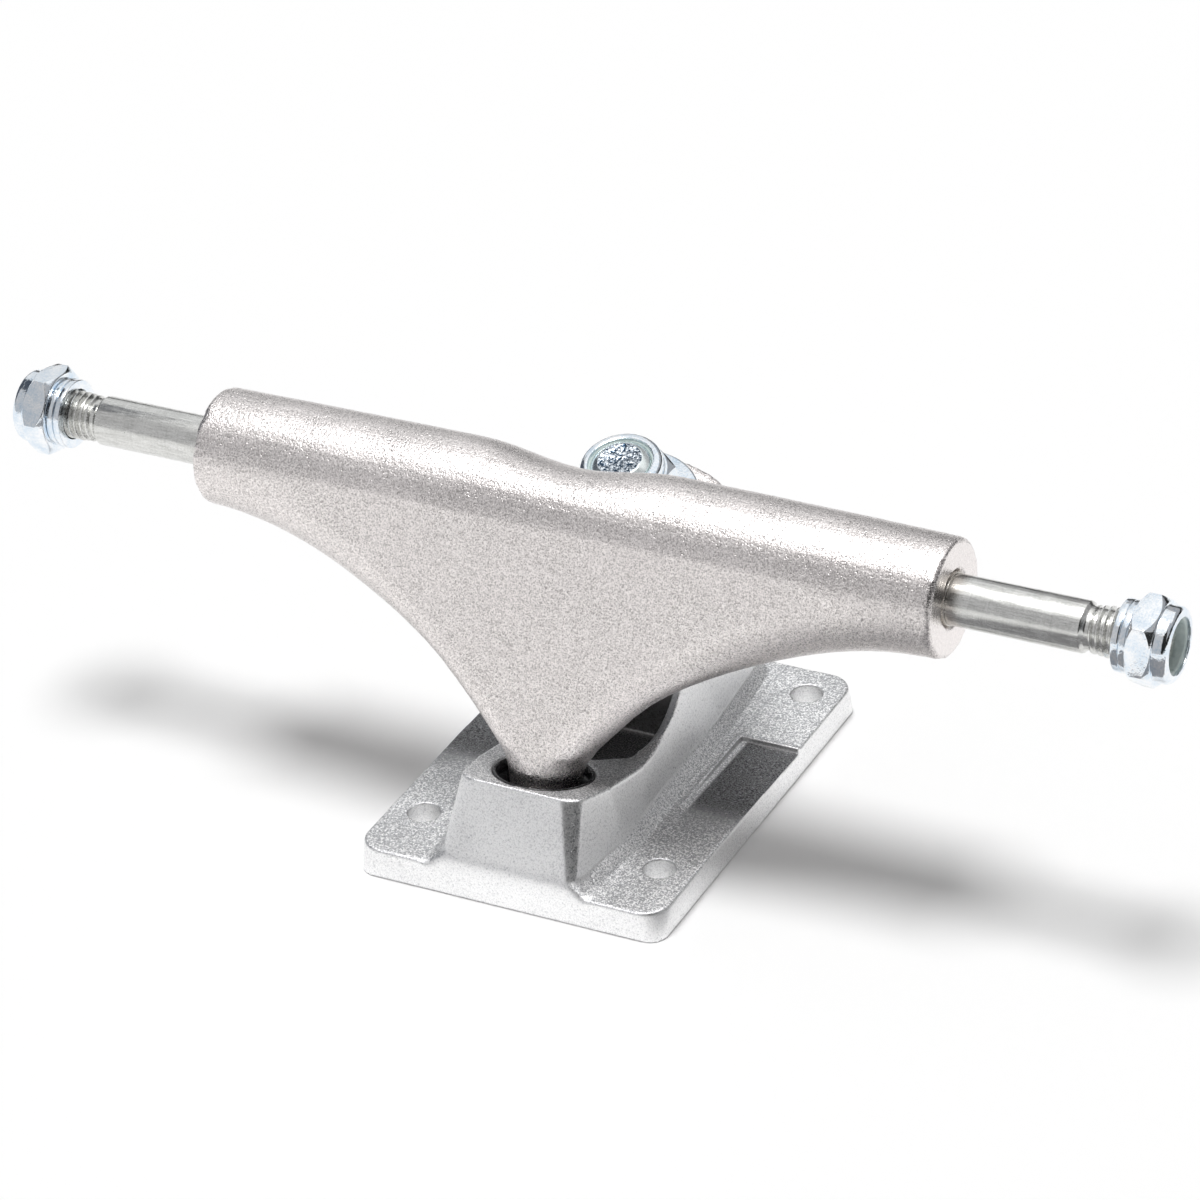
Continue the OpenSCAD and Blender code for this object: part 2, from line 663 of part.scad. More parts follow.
// Room for the nut, the top washer and the top bushing over the whole steering travel
module ring_room() {
    hull()
        for (turn = [-1, 0, 1])
            steered(turn * steer_limit)
                on_kingpin(ring_top_z + 6) cylinder(r = kingpin_nut_r + nut_room, h = past);
    on_kingpin(ring_top_z) cylinder(d = ring_d + 0.2, h = kingpin_nut_z - ring_top_z + 2.6);
}

module ring_cuts() {
    on_kingpin() cylinder(d = ring_hole_d, h = past);
    on_kingpin(top_bushing_z) cylinder(r = bushing_d / 2 + seat_room, h = past);
    on_kingpin(ring_web_z - past) cylinder(r = bushing_d / 2 + seat_room, h = past);
}

module hanger()
    color("#cfcdc8") difference() {
        union() {
            hanger_body();
            barrel_end(-1);
            barrel_end(1);
            pivot_stem();
            difference() {
                union() {
                    yoke();
                    on_kingpin(ring_bottom_z) cylinder(d = ring_d, h = ring_top_z - ring_bottom_z);
                }
                ring_cuts();
            }
        }
        ring_room();
        on_axle(1, -hanger_half - 1) cylinder(r = axle_r + axle_grip_extra / 2 + touch, h = hanger_w + 2);
        for (side = [-1, 1])
            on_axle(side, hanger_half - hanger_end_sink)
                cylinder(r1 = axle_r + 0.2, r2 = axle_r + 0.7, h = hanger_end_sink + 0.01);
    }

// Axle: a knurled grip in the hanger, then on each side a journal, a neck and a thread
module axle()
    color("#b9b9b0")
        for (side = [-1, 1])
            on_axle(side)
                rotate_extrude()
                    polygon([
                        [0, 0],
                        [axle_r + axle_grip_extra / 2, 0],
                        [axle_r + axle_grip_extra / 2, journal_in],
                        [axle_r, journal_in],
                        [axle_r, thread_in - axle_neck_l - 0.3],
                        [neck_r, thread_in - axle_neck_l],
                        [neck_r, thread_in],
                        [thread_r, thread_in],
                        [thread_r, axle_half - axle_tip_chamfer],
                        [thread_r - axle_tip_chamfer, axle_half],
                        [1.2, axle_half],
                        [0, axle_half - 1.2]]);

axle_nut_bore_r = thread_r + thread_clearance;
module axle_nut(side, turn)
    color("#d3dae2") on_axle(side, nut_in + touch) rotate(turn) lock_nut(axle_nut_af, axle_nut_h, axle_nut_bore_r);

module axle_nut_insert(side)
    color("#e4e6e4") on_axle(side, nut_in + touch) nut_insert(axle_nut_af, axle_nut_h, axle_nut_bore_r);

module speed_washer(side, place)
    color("#d3dae2") on_axle(side, washers_in + place * (speed_washer_t + touch))
        washer(speed_washer_d / 2, axle_r + washer_clearance, speed_washer_t);

module left_inner_speed_washer() speed_washer(-1, 0);
module left_outer_speed_washer() speed_washer(-1, 1);
module left_axle_nut() axle_nut(-1, left_nut_turn);
module left_nut_insert() axle_nut_insert(-1);
module right_inner_speed_washer() speed_washer(1, 0);
module right_outer_speed_washer() speed_washer(1, 1);
module right_axle_nut() axle_nut(1, right_nut_turn);
module right_nut_insert() axle_nut_insert(1);

baseplate();
pivot_cup();
kingpin();
bottom_cup_washer();
bottom_bushing();
top_bushing();
top_cup_washer();
kingpin_nut();
kingpin_nut_insert();
hanger();
axle();
left_inner_speed_washer();
left_outer_speed_washer();
left_axle_nut();
left_nut_insert();
right_inner_speed_washer();
right_outer_speed_washer();
right_axle_nut();
right_nut_insert();
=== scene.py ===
# %% [markdown]
# # A skateboard truck under a soft lamp
# A truck steers a skateboard. Its wheels run on the axle, the cast hanger holds that axle, and the hanger
# swings between a ball in the pivot cup and a ring that two urethane bushings squeeze on the kingpin.
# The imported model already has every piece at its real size, so this lesson adds what a photograph shows:
# raw cast skins, cut threads, soft edges and bright zinc.

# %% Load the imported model
import json
import math

import bmesh
import bpy
from mathutils import Matrix, Vector, noise


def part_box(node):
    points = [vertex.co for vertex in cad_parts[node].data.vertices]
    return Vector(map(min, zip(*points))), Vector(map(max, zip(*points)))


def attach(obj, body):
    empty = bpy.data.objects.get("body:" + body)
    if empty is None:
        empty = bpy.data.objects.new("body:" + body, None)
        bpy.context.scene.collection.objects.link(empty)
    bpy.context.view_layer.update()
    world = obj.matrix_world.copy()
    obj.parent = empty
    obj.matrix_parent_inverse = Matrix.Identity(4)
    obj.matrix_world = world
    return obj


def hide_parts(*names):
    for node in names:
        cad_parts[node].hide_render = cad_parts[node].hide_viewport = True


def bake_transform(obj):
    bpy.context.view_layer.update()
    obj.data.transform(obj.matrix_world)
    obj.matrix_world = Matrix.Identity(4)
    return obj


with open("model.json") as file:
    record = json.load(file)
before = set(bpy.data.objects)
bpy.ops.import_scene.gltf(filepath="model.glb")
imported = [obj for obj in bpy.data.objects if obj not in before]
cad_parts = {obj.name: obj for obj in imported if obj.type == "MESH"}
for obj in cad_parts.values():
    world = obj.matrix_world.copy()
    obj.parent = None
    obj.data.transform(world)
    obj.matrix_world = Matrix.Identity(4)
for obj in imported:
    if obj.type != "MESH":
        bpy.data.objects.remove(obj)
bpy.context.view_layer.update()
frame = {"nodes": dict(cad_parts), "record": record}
MM = 0.001

# %% [markdown]
# ## The camera
# The photograph was taken with a long lens from the front right, a little above the truck, and its camera was
# rolled slightly. A camera could be placed by eye. Here it follows a fit to the four bolt holes and the axle,
# so the picture and the model share one scale. The picture is 1200 pixels wide, and the fit gave the lens as
# a focal length in pixels and the spot where the lens axis meets the picture.

# %% Place the camera
PICTURE = 1200
FOCAL_PIXELS = 5232.88
AXIS_PIXEL = (610.0, 619.22)
CAMERA_AZIMUTH = math.radians(28.54)
CAMERA_ELEVATION = math.radians(31.59)
CAMERA_ROLL = math.radians(-3.56)
CAMERA_DISTANCE = 821.6 * MM
CAMERA_TARGET = Vector((0, 0, 30 * MM))
SENSOR_MM = 36
NEAREST_IN_VIEW = 10 * MM


def direction(azimuth, elevation):
    """Unit vector from the truck to a place in the studio. Azimuth 0 is in front, 90 degrees is right."""
    flat = math.cos(elevation)
    return Vector((math.sin(azimuth) * flat, -math.cos(azimuth) * flat, math.sin(elevation)))


lens = bpy.data.cameras.new("photo_camera")
lens.sensor_width = SENSOR_MM
lens.lens = SENSOR_MM * FOCAL_PIXELS / PICTURE
lens.shift_x = 0.5 - AXIS_PIXEL[0] / PICTURE
lens.shift_y = AXIS_PIXEL[1] / PICTURE - 0.5
lens.clip_start = NEAREST_IN_VIEW
camera = bpy.data.objects.new("photo_camera", lens)
bpy.context.scene.collection.objects.link(camera)
backwards = direction(CAMERA_AZIMUTH, CAMERA_ELEVATION)
aim = (-backwards).to_track_quat("-Z", "Y").to_matrix().to_4x4()
place = Matrix.Translation(CAMERA_TARGET + backwards * CAMERA_DISTANCE)
camera.matrix_world = place @ aim @ Matrix.Rotation(CAMERA_ROLL, 4, "Z")
bpy.context.scene.camera = camera
print("lens", round(lens.lens, 1), "mm at", [round(x, 3) for x in camera.location])

# %% [markdown]
# ## Sums on wires
# A finish is a small network of nodes, and most of it is arithmetic. Wiring each Math node by hand hides the
# formula. So one class stands for a wire and borrows Python's operators, and another holds the material and
# makes every other node from its type, its settings and what goes into its sockets.

# %% A wire
class Wire:
    """A node's output that Python's operators can work on."""

    def __init__(self, finish, socket):
        self.finish = finish
        self.socket = socket

    def sums(self, operation, *values):
        """Maths on its values in turn."""
        return self.finish.node("ShaderNodeMath", {"operation": operation}, dict(enumerate(values)))

    def __add__(self, other):
        return self.sums("ADD", self, other)

    def __radd__(self, other):
        return self.sums("ADD", other, self)

    def __sub__(self, other):
        return self.sums("SUBTRACT", self, other)

    def __rsub__(self, other):
        return self.sums("SUBTRACT", other, self)

    def __mul__(self, other):
        return self.sums("MULTIPLY", self, other)

    def __rmul__(self, other):
        return self.sums("MULTIPLY", other, self)

    def __truediv__(self, other):
        return self.sums("DIVIDE", self, other)

    def __abs__(self):
        return self.sums("ABSOLUTE", self)

    def clamp(self):
        return self.finish.node("ShaderNodeClamp", {}, {0: self})

    def band(self, low, high):
        """0 below low, 1 above high, and a soft step between them."""
        settings = {"interpolation_type": "SMOOTHSTEP"}
        values = {"Value": self, "From Min": low, "From Max": high}
        return self.finish.node("ShaderNodeMapRange", settings, values)

    def rise(self, places):
        """0 before the first of two places, in millimetres, and 1 beyond the second."""
        return self.band(places[0] * MM, places[1] * MM)

    def fall(self, places):
        """1 before the first of two places, in millimetres, and 0 beyond the second."""
        return 1 - self.rise(places)


# %% A finish
class Finish:
    """One material, built round its Principled shader."""

    def __init__(self, name):
        self.material = bpy.data.materials.new(name)
        self.material.use_nodes = True
        self.tree = self.material.node_tree
        self.shader = self.tree.nodes["Principled BSDF"]
        self.place = self.node("ShaderNodeTexCoord", {}, {}, "Object")

    def node(self, kind, settings, values, out=0):
        """Makes a node, then its settings, then what its sockets hold or are wired to."""
        made = self.tree.nodes.new(kind)
        for name, value in settings.items():
            setattr(made, name, value)
        for name, value in values.items():
            self.feed(made.inputs[name], value)
        return Wire(self, made.outputs[out])

    def feed(self, socket, value):
        """Wires a value to a socket, or writes it there."""
        if isinstance(value, Wire):
            self.tree.links.new(value.socket, socket)
        else:
            socket.default_value = value

    def vector(self, operation, *values, out=0):
        """Vector maths on its values in turn."""
        return self.node("ShaderNodeVectorMath", {"operation": operation}, dict(enumerate(values)), out)

    def axis(self, letter):
        """One coordinate of the place on the piece, in metres."""
        return self.node("ShaderNodeSeparateXYZ", {}, {0: self.place}, letter)

    def facing(self, letter):
        """How far the skin faces along an axis of the truck, from -1 to 1."""
        normal = self.node("ShaderNodeTexCoord", {}, {}, "Normal")
        return self.node("ShaderNodeSeparateXYZ", {}, {0: normal}, letter)

    def grain(self, size, detail, stretch=(1, 1, 1), roughness=0.5, shift=0.0):
        """Noise about 0, in lumps about size metres across, longer along an axis where stretch is over 1."""
        scale = tuple(1 / (size * s) for s in stretch)
        where = self.vector("MULTIPLY_ADD", self.place, scale, (shift, shift, shift))
        values = {"Vector": where, "Scale": 1.0, "Detail": detail, "Roughness": roughness}
        return self.node("ShaderNodeTexNoise", {}, values) - 0.5

    def mix(self, share, first, second):
        """Colour from first, at share 0, to second, at share 1. Each is a colour or a wire."""
        colours = [c if isinstance(c, Wire) else (*c, 1) for c in (first, second)]
        values = {0: share, 6: colours[0], 7: colours[1]}
        return self.node("ShaderNodeMix", {"data_type": "RGBA"}, values, 2)

    def bump(self, relief):
        """Normal of a relief whose height is in millimetres."""
        return self.node("ShaderNodeBump", {}, {"Strength": 1.0, "Distance": MM, "Height": relief})

    def paint(self, **sockets):
        """Fills the shader's own sockets, named with underscores for spaces."""
        for name, value in sockets.items():
            self.feed(self.shader.inputs[name.replace("_", " ")], value)
        return self.material


# %% [markdown]
# ## Raw castings
# Both castings are aluminium, poured and then blasted with shot, so their skin is a field of tiny dents that
# glitter where reflections break up. A flat grey metal would look like plastic. Noise of several sizes does
# the work: a fine grain that is lighter and darker from dent to dent, sparse dark pits, bright specks, and
# slow clouds that shift the tone. The grain can be stronger where the skin faces up, as on the baseplate.
# There the tone is also lower on skin that faces up, as painted shade, and higher on skin that faces
# sideways, as painted light. Painted shade and a painted dark reflection darken some hollows and corners.

# %% Cast skin
# A dark tone for painted shade.
PAINTED_SHADE = (0.06, 0.06, 0.062)
UPWARD = (0.55, 0.9)
PIT_DEPTHS = (-0.24, -0.15)
SPECK_HEIGHTS = (0.17, 0.24)
CLOUD_SIZE = 11 * MM


def cast_skin(name, dark, light, tones, contrasts, grain_mm, depths_mm, dullnesses, marks):
    """Blasted aluminium between two tones. Pairs are for skin that faces sideways and skin that faces up."""
    skin = Finish(name)
    up = skin.facing("Z").band(*UPWARD)

    def by_facing(pair):
        """The pair's first value on skin that faces sideways, and its second where skin faces up."""
        return pair[0] + (pair[1] - pair[0]) * up

    # The marks give a relief, a share of painted shade, and how lively the grain is.
    relief, painted_shade, life = marks(skin)
    # Where the two tones differ, the tone is painted shade on skin that faces up and painted light on skin
    # that faces sideways.
    level = by_facing(tones) + 0.3 * (1 - life).clamp()
    strength = by_facing(contrasts) * life
    depth = by_facing(depths_mm) * life
    fine = skin.grain(grain_mm * MM, 2.0, roughness=0.65)
    lumps = skin.grain(2.4 * grain_mm * MM, 1.0, shift=3.7)
    clouds = skin.grain(CLOUD_SIZE, 3.0, shift=7.1)
    pits = 1 - skin.grain(1.5 * grain_mm * MM, 0.0, shift=11.3).band(*PIT_DEPTHS)
    specks = skin.grain(1.3 * grain_mm * MM, 0.0, shift=19.9).band(*SPECK_HEIGHTS)
    tone = level + strength * (2.2 * fine + 0.3 * lumps + 0.4 * specks - 0.3 * pits) + 0.35 * clouds
    height = depth * (fine + 0.7 * lumps - 0.4 * pits) + relief
    clean = skin.mix(tone.clamp(), dark, light)
    # The colour goes over to the dark painted shade where the marks ask for it.
    return skin.paint(
        Base_Color=skin.mix((painted_shade * (0.95 + 3.0 * fine)).clamp(), clean, PAINTED_SHADE),
        Metallic=1.0,
        Roughness=(by_facing(dullnesses) + 0.25 * clouds + 0.3 * fine).clamp(),
        Normal=skin.bump(height),
    )


# %% [markdown]
# ## What was done to each casting
# After blasting, both ends of the hanger were faced on a lathe, which left fine rings and little grain. The
# baseplate kept faint ridges where the mould's halves met. Its two side panels and the pocket under the
# hanger get painted shade, and the boss's front corners a painted dark reflection. Such places could be
# painted by hand. Here each is a mask from the place on the piece and the way that it faces, so it needs no
# unwrapping.

# %% The hanger's finish
AXLE_LOW, AXLE_HIGH = (Vector(corner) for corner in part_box("axle"))
AXLE_MIDDLE = (AXLE_LOW + AXLE_HIGH) / 2
LATHE_RING = 0.5 * MM
END_FACING = (0.93, 0.98)
END_PLACE = (60, 62)


def hanger_marks(skin):
    """Rings that the lathe left on both ends, where the grain is weak, and no painted shade."""
    off = skin.vector("SUBTRACT", skin.place, AXLE_MIDDLE)
    radius = skin.vector("LENGTH", skin.vector("MULTIPLY", off, (0, 1, 1)), out="Value")
    values = {"W": radius, "Scale": 1 / LATHE_RING}
    rings = skin.node("ShaderNodeTexNoise", {"noise_dimensions": "1D"}, values) - 0.5
    end = abs(skin.facing("X")).band(*END_FACING) * abs(skin.axis("X")).rise(END_PLACE)
    return 0.05 * rings * end, 0.0 * end, 1 - 0.75 * end


hanger_finish = cast_skin(
    "cast_hanger",
    dark=(0.5, 0.472, 0.462),
    light=(1.0, 0.95, 0.935),
    tones=(0.56, 0.56),
    contrasts=(1.7, 1.7),
    grain_mm=0.24,
    depths_mm=(0.055, 0.06),
    dullnesses=(0.3, 0.3),
    marks=hanger_marks,
)
print("axle from", round(AXLE_LOW.x / MM, 1), "to", round(AXLE_HIGH.x / MM, 1), "mm")

# %% The baseplate's finish
SEAM_PLACES = (-24.6, 21.6)
SEAM_WIDTH = 0.28 * MM
PANEL_SIDE = (17.2, 17.8)
PANEL_FRONT = (-17, -6)
PANEL_BACK = (11.7, 12.1)
PANEL_FLOOR = (5.1, 5.2)
PANEL_FACING = (0.5, 0.9)
POCKET_SIDE = (9.6, 11)
POCKET_FRONT = (-20, -13)
POCKET_BACK = (4, 8)
POCKET_TOP = (9, 16)
CORNER_FACING = (0.3, 0.42)
CORNER_FOOT = (5.5, 6.5)
CORNER_BACK = (-26, -24)


def plate_marks(skin):
    """Two faint ridges from the mould's joints, painted shade in the panels and the pocket, and a painted
    dark reflection on the boss's front corners.
    """
    x = abs(skin.axis("X"))
    y = skin.axis("Y")
    z = skin.axis("Z")
    ridges = [(1 - abs(y - place * MM) / SEAM_WIDTH).clamp() for place in SEAM_PLACES]
    # The side panels and the pocket under the hanger get painted shade.
    panel = x.rise(PANEL_SIDE) * y.rise(PANEL_FRONT) * y.fall(PANEL_BACK) * z.fall(PANEL_FLOOR)
    panel = panel * skin.facing("Z").band(*PANEL_FACING)
    pocket = x.fall(POCKET_SIDE) * y.rise(POCKET_FRONT) * y.fall(POCKET_BACK) * z.fall(POCKET_TOP)
    # The boss's front corners get a painted dark reflection and a livelier grain.
    corner = (0 - skin.facing("X") * skin.facing("Y")).band(*CORNER_FACING)
    corner = corner * z.rise(CORNER_FOOT) * y.fall(CORNER_BACK)
    return 0.03 * (ridges[0] + ridges[1]), 0.8 * panel + 0.9 * pocket + 0.3 * corner, 1 + 4 * corner


plate_finish = cast_skin(
    "cast_baseplate",
    dark=(0.42, 0.425, 0.44),
    light=(1.0, 1.0, 1.0),
    # The lower tone on skin that faces up is painted shade, and the higher one on skin that faces sideways
    # painted light.
    tones=(0.87, 0.35),
    contrasts=(0.8, 2.4),
    grain_mm=0.25,
    depths_mm=(0.014, 0.06),
    dullnesses=(0.4, 0.52),
    marks=plate_marks,
)
print("cast finishes", hanger_finish.name, plate_finish.name)

# %% [markdown]
# ## Steel and zinc
# The axle is bare ground steel, so fine rings run round it, and oil left a faint brown stain where it leaves
# the hanger. Nuts, washers and the kingpin are zinc plated: nearly a mirror, slightly blue, with small
# crystals. Two plain metals would look the same, so the steel's noise is stretched along and round the bar,
# and the zinc's colour and gloss change in small crystals and larger haze.

# %% Steel finish
STAIN_REACH = (62.5, 66.5)
STAIN_SHARE = 0.4


def steel_finish():
    """Bare steel with rings left by the lathe, and a stain at the hanger."""
    steel = Finish("axle_steel")
    rings = steel.grain(0.13 * MM, 1.0, (1, 90, 90))
    wide_rings = steel.grain(0.9 * MM, 1.0, (1, 40, 40), shift=5.0)
    drawn = steel.grain(0.3 * MM, 2.0, (9, 1, 1))
    clouds = steel.grain(2.2 * MM, 2.0, (2, 1, 1), shift=9.0)
    peppery = steel.grain(0.25 * MM, 1.0, shift=14.0)
    out = abs(steel.axis("X") - AXLE_MIDDLE.x)
    stain = (out + 4 * MM * clouds).fall(STAIN_REACH) * STAIN_SHARE
    tone = (0.6 + 0.5 * rings + 0.4 * wide_rings + 1.3 * drawn + 0.9 * peppery).clamp()
    bare = steel.mix(tone, (0.5, 0.5, 0.48), (0.84, 0.84, 0.82))
    return steel.paint(
        Base_Color=steel.mix(stain, bare, (0.3, 0.24, 0.17)),
        Metallic=1.0,
        Roughness=(0.24 + 0.2 * drawn + 0.15 * clouds).clamp(),
        Normal=steel.bump(0.008 * rings + 0.006 * drawn),
    )


axle_finish = steel_finish()
print("steel nodes", len(axle_finish.node_tree.nodes))


# %% Zinc finish
def zinc_finish():
    """Bright zinc plate with fine crystals."""
    zinc = Finish("zinc_plated_steel")
    crystals = zinc.grain(0.3 * MM, 2.0)
    haze = zinc.grain(2.2 * MM, 2.0, shift=4.0)
    share = (0.65 + 1.5 * haze + 1.2 * crystals).clamp()
    return zinc.paint(
        Base_Color=zinc.mix(share, (0.6, 0.73, 0.86), (0.97, 0.985, 1.0)),
        Metallic=1.0,
        Roughness=(0.1 + 0.12 * haze + 0.1 * crystals).clamp(),
        Normal=zinc.bump(0.022 * crystals + 0.06 * haze),
    )


plated_finish = zinc_finish()
print("zinc nodes", len(plated_finish.node_tree.nodes))

# %% [markdown]
# ## Urethane and nylon
# The pivot cup and the bushings are black urethane, glossy from its mould and smeared with grease, which
# shows as small wet bumps rather than as a colour. The lock nuts' inserts are milky nylon, slightly green.
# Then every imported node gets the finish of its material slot, so nothing is left bare.

# %% Plastic finishes
def urethane_finish():
    """Black moulded urethane with a glossy skin and drops of grease."""
    urethane = Finish("black_urethane")
    skin = urethane.grain(0.6 * MM, 2.0)
    smears = urethane.grain(2.5 * MM, 2.0, shift=2.0)
    grease = urethane.grain(0.75 * MM, 1.0, shift=8.0).band(0.08, 0.2)
    return urethane.paint(
        Base_Color=urethane.mix((0.5 + skin).clamp(), (0.006, 0.006, 0.007), (0.022, 0.022, 0.024)),
        Roughness=(0.26 + 0.5 * smears).clamp(),
        Normal=urethane.bump(0.012 * skin + 0.04 * smears + 0.09 * grease),
    )


def nylon_finish():
    """Milky nylon, slightly green."""
    nylon = Finish("pale_nylon")
    milk = nylon.grain(1.2 * MM, 2.0)
    return nylon.paint(
        Base_Color=nylon.mix((0.5 + 1.5 * milk).clamp(), (0.5, 0.6, 0.59), (0.72, 0.8, 0.78)),
        Roughness=(0.3 + 0.3 * milk).clamp(),
        Normal=nylon.bump(0.02 * milk),
    )


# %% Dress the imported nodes
finishes = {
    "cast_hanger": hanger_finish,
    "cast_baseplate": plate_finish,
    "axle_steel": axle_finish,
    "zinc_plated_steel": plated_finish,
    "black_urethane": urethane_finish(),
    "pale_nylon": nylon_finish(),
}
slot_of = {part["node"]: part["material_slot"] for part in frame["record"]["subparts"]}


def dress(piece, finish):
    """Gives a piece its finish, and nothing else in its slots."""
    piece.data.materials.clear()
    piece.data.materials.append(finish)


for name, node in frame["nodes"].items():
    dress(node, finishes[slot_of[name]])
print("finishes", len(finishes), "on", len(frame["nodes"]), "nodes")

# %% [markdown]
# ## Lines that pieces follow
# Hardly anything on a truck stands upright: the kingpin and the cup each lean, and the hanger's stem points
# from the ball to the axle. Turning each piece by hand invites small errors. So each piece is made along Z
# and stood on a line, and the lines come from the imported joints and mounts.

# %% Kingpin, cup, stem and axle lines
UP = Vector((0, 0, 1))
CUP_TILT = math.radians(14)


def upright(place, along):
    """Matrix that stands what is made along Z at a place, pointing along a direction."""
    return Matrix.Translation(place) @ UP.rotation_difference(along).to_matrix().to_4x4()


joints = {joint["name"]: joint for joint in frame["record"]["behaviour"]["joints"]}
mounts = {mount["name"]: mount for mount in frame["record"]["mounts"]}
pivot = Vector(joints["hanger_steer"]["pos_m"])
kingpin_line = upright(joints["kingpin_nut_turn"]["pos_m"], Vector(joints["kingpin_nut_turn"]["axis"]))
kingpin_way = kingpin_line.to_3x3().col[2]
cup_line = upright(pivot, Vector((0, math.sin(CUP_TILT), math.cos(CUP_TILT))))
stem_line = upright(pivot, Vector((0, AXLE_MIDDLE.y - pivot.y, AXLE_MIDDLE.z - pivot.z)))
axle_lines = {
    side: upright(AXLE_MIDDLE, Vector(mounts["axle_" + side]["axis"]))
    for side in ("left", "right")
}
print("kingpin leans", round(math.degrees(kingpin_way.angle(UP)), 1), "degrees")

# %% [markdown]
# ## From a CAD node to a cast piece
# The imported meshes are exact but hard: triangles with split corners and knife edges. A casting has no knife
# edge anywhere, and metal fills its inner corners in a small radius. Bevelling by hand fails where the fan
# runs into the barrel, so each casting is copied, welded, rebuilt on a fine grid of voxels and relaxed.
# Its inner corners are then relaxed further, and a slow ripple of a few hundredths of a millimetre makes
# the reflections wander as they do on a real casting. Last, the mesh is thinned where it is flat.

# %% Keep a shape as a piece
def finished(shape, name, slot, body, *nodes):
    """Turns a bmesh into a piece that rides on a body and stands for CAD nodes."""
    mesh = bpy.data.meshes.new(name)
    shape.to_mesh(mesh)
    shape.free()
    mesh.shade_smooth()
    piece = bpy.data.objects.new(name, mesh)
    bpy.context.scene.collection.objects.link(piece)
    dress(piece, finishes[slot])
    if body:
        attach(piece, body)
    if nodes:
        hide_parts(*nodes)
    return piece


def apply_modifiers(piece):
    """Keeps what the modifiers make as the piece's own mesh."""
    bpy.context.view_layer.update()
    graph = bpy.context.evaluated_depsgraph_get()
    made = bpy.data.meshes.new_from_object(piece.evaluated_get(graph))
    piece.modifiers.clear()
    piece.data = made


# %% Relax a skin and find its hollow corners
HOLLOW = 0.14


def relax(shape, verts, rounds):
    """Draws each vertex halfway to its neighbours' middle, several times."""
    for _ in range(rounds):
        bmesh.ops.smooth_vert(
            shape, verts=verts, factor=0.5, use_axis_x=True, use_axis_y=True, use_axis_z=True)


def inner_corners(shape, half_width, back, heights, growth):
    """Vertices within some edges of the hollow corners in one part of a casting, all in millimetres."""
    hollow = set()
    for edge in shape.edges:
        x, y, z = edge.verts[0].co / MM
        if abs(x) < half_width and y < back and heights[0] < z < heights[1] and edge.is_manifold:
            if edge.calc_face_angle_signed() < -HOLLOW:
                hollow.update(edge.verts)
    for _ in range(growth):
        hollow.update([e.other_vert(v) for v in hollow for e in v.link_edges])
    return list(hollow)


# %% Casting
WELD = 0.001 * MM
RIPPLE = 0.04 * MM
RIPPLE_SIZE = 7 * MM
MOST_TRIANGLES = 190000


def casting(node, name, body, voxel, relaxings, fillets, add=None):
    """A seamless, soft-edged copy of a CAD casting. Each fillet is relaxing rounds and where they work."""
    shape = bmesh.new()
    shape.from_mesh(frame["nodes"][node].data)
    bmesh.ops.remove_doubles(shape, verts=shape.verts, dist=WELD)
    if add:
        add(shape)
    piece = finished(shape, name, slot_of[node], None)
    remesh = piece.modifiers.new("voxels", "REMESH")
    remesh.mode = "VOXEL"
    remesh.voxel_size = voxel
    apply_modifiers(piece)
    shape = bmesh.new()
    shape.from_mesh(piece.data)
    relax(shape, shape.verts, relaxings)
    for rounds, where in fillets:
        relax(shape, inner_corners(shape, **where), rounds)
    shape.normal_update()
    for v in shape.verts:
        v.co += v.normal * RIPPLE * noise.noise(v.co / RIPPLE_SIZE)
    shape.to_mesh(piece.data)
    shape.free()
    fine_faces = len(piece.data.polygons)
    thin = piece.modifiers.new("thinned", "DECIMATE")
    thin.ratio = min(1, MOST_TRIANGLES / (2 * fine_faces))
    apply_modifiers(piece)
    piece.data.shade_smooth()
    dress(piece, finishes[slot_of[node]])
    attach(piece, body)
    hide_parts(node)
    print(name, fine_faces, "faces thinned to", len(piece.data.polygons))


# %% [markdown]
# ## The hanger
# The hanger's broad fan narrows to a stem that ends in the ball. On the real casting the fan's edges run
# straight down into the cup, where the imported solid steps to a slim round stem. That step could be smoothed
# alone, but it would stay a waist. So flattened cones, wider and wider, are added before the skin is rebuilt,
# and the hollows where they meet are relaxed until no fold is left.

# %% Hanger
FLARE = [(4.9, 6.0), (7.2, 6.3), (10.5, 8.4), (15, 12.3), (18.5, 15.3)]
FLARE_DEPTH = 5.85


def add_flare(shape):
    """A neck of cones between heights and half widths along the stem, all in millimetres."""
    for (low, low_width), (high, high_width) in zip(FLARE, FLARE[1:]):
        made = bmesh.ops.create_cone(
            shape, cap_ends=True, segments=72, radius1=MM, radius2=MM, depth=2 * MM)
        for v in made["verts"]:
            at_top = v.co.z > 0
            v.co.x *= high_width if at_top else low_width
            v.co.y *= FLARE_DEPTH
            v.co.z = (high if at_top else low) * MM
        bmesh.ops.transform(shape, matrix=stem_line, verts=made["verts"])


hanger_fillets = [
    (120, dict(half_width=30, back=100, heights=(16, 31), growth=8)),
    (12, dict(half_width=100, back=100, heights=(0, 70), growth=3)),
]
casting("hanger", "hanger_casting", "hanger", 0.3 * MM, 2, hanger_fillets, add_flare)

# %% [markdown]
# ## The baseplate
# The baseplate is a flat plate with a tower, a boss for the cup and two sunken side panels, poured in one.
# Its panels keep crisp rims, so it takes a finer grid and less relaxing than the hanger. Only the inner
# corners of the tower, and the foot of the boss at the front, flow together as poured metal does.

# %% Baseplate
plate_fillets = [
    (8, dict(half_width=100, back=100, heights=(8, 40), growth=3)),
    (50, dict(half_width=15, back=-35.5, heights=(3.5, 8.5), growth=6)),
]
casting("baseplate", "baseplate_casting", "baseplate", 0.22 * MM, 1, plate_fillets)

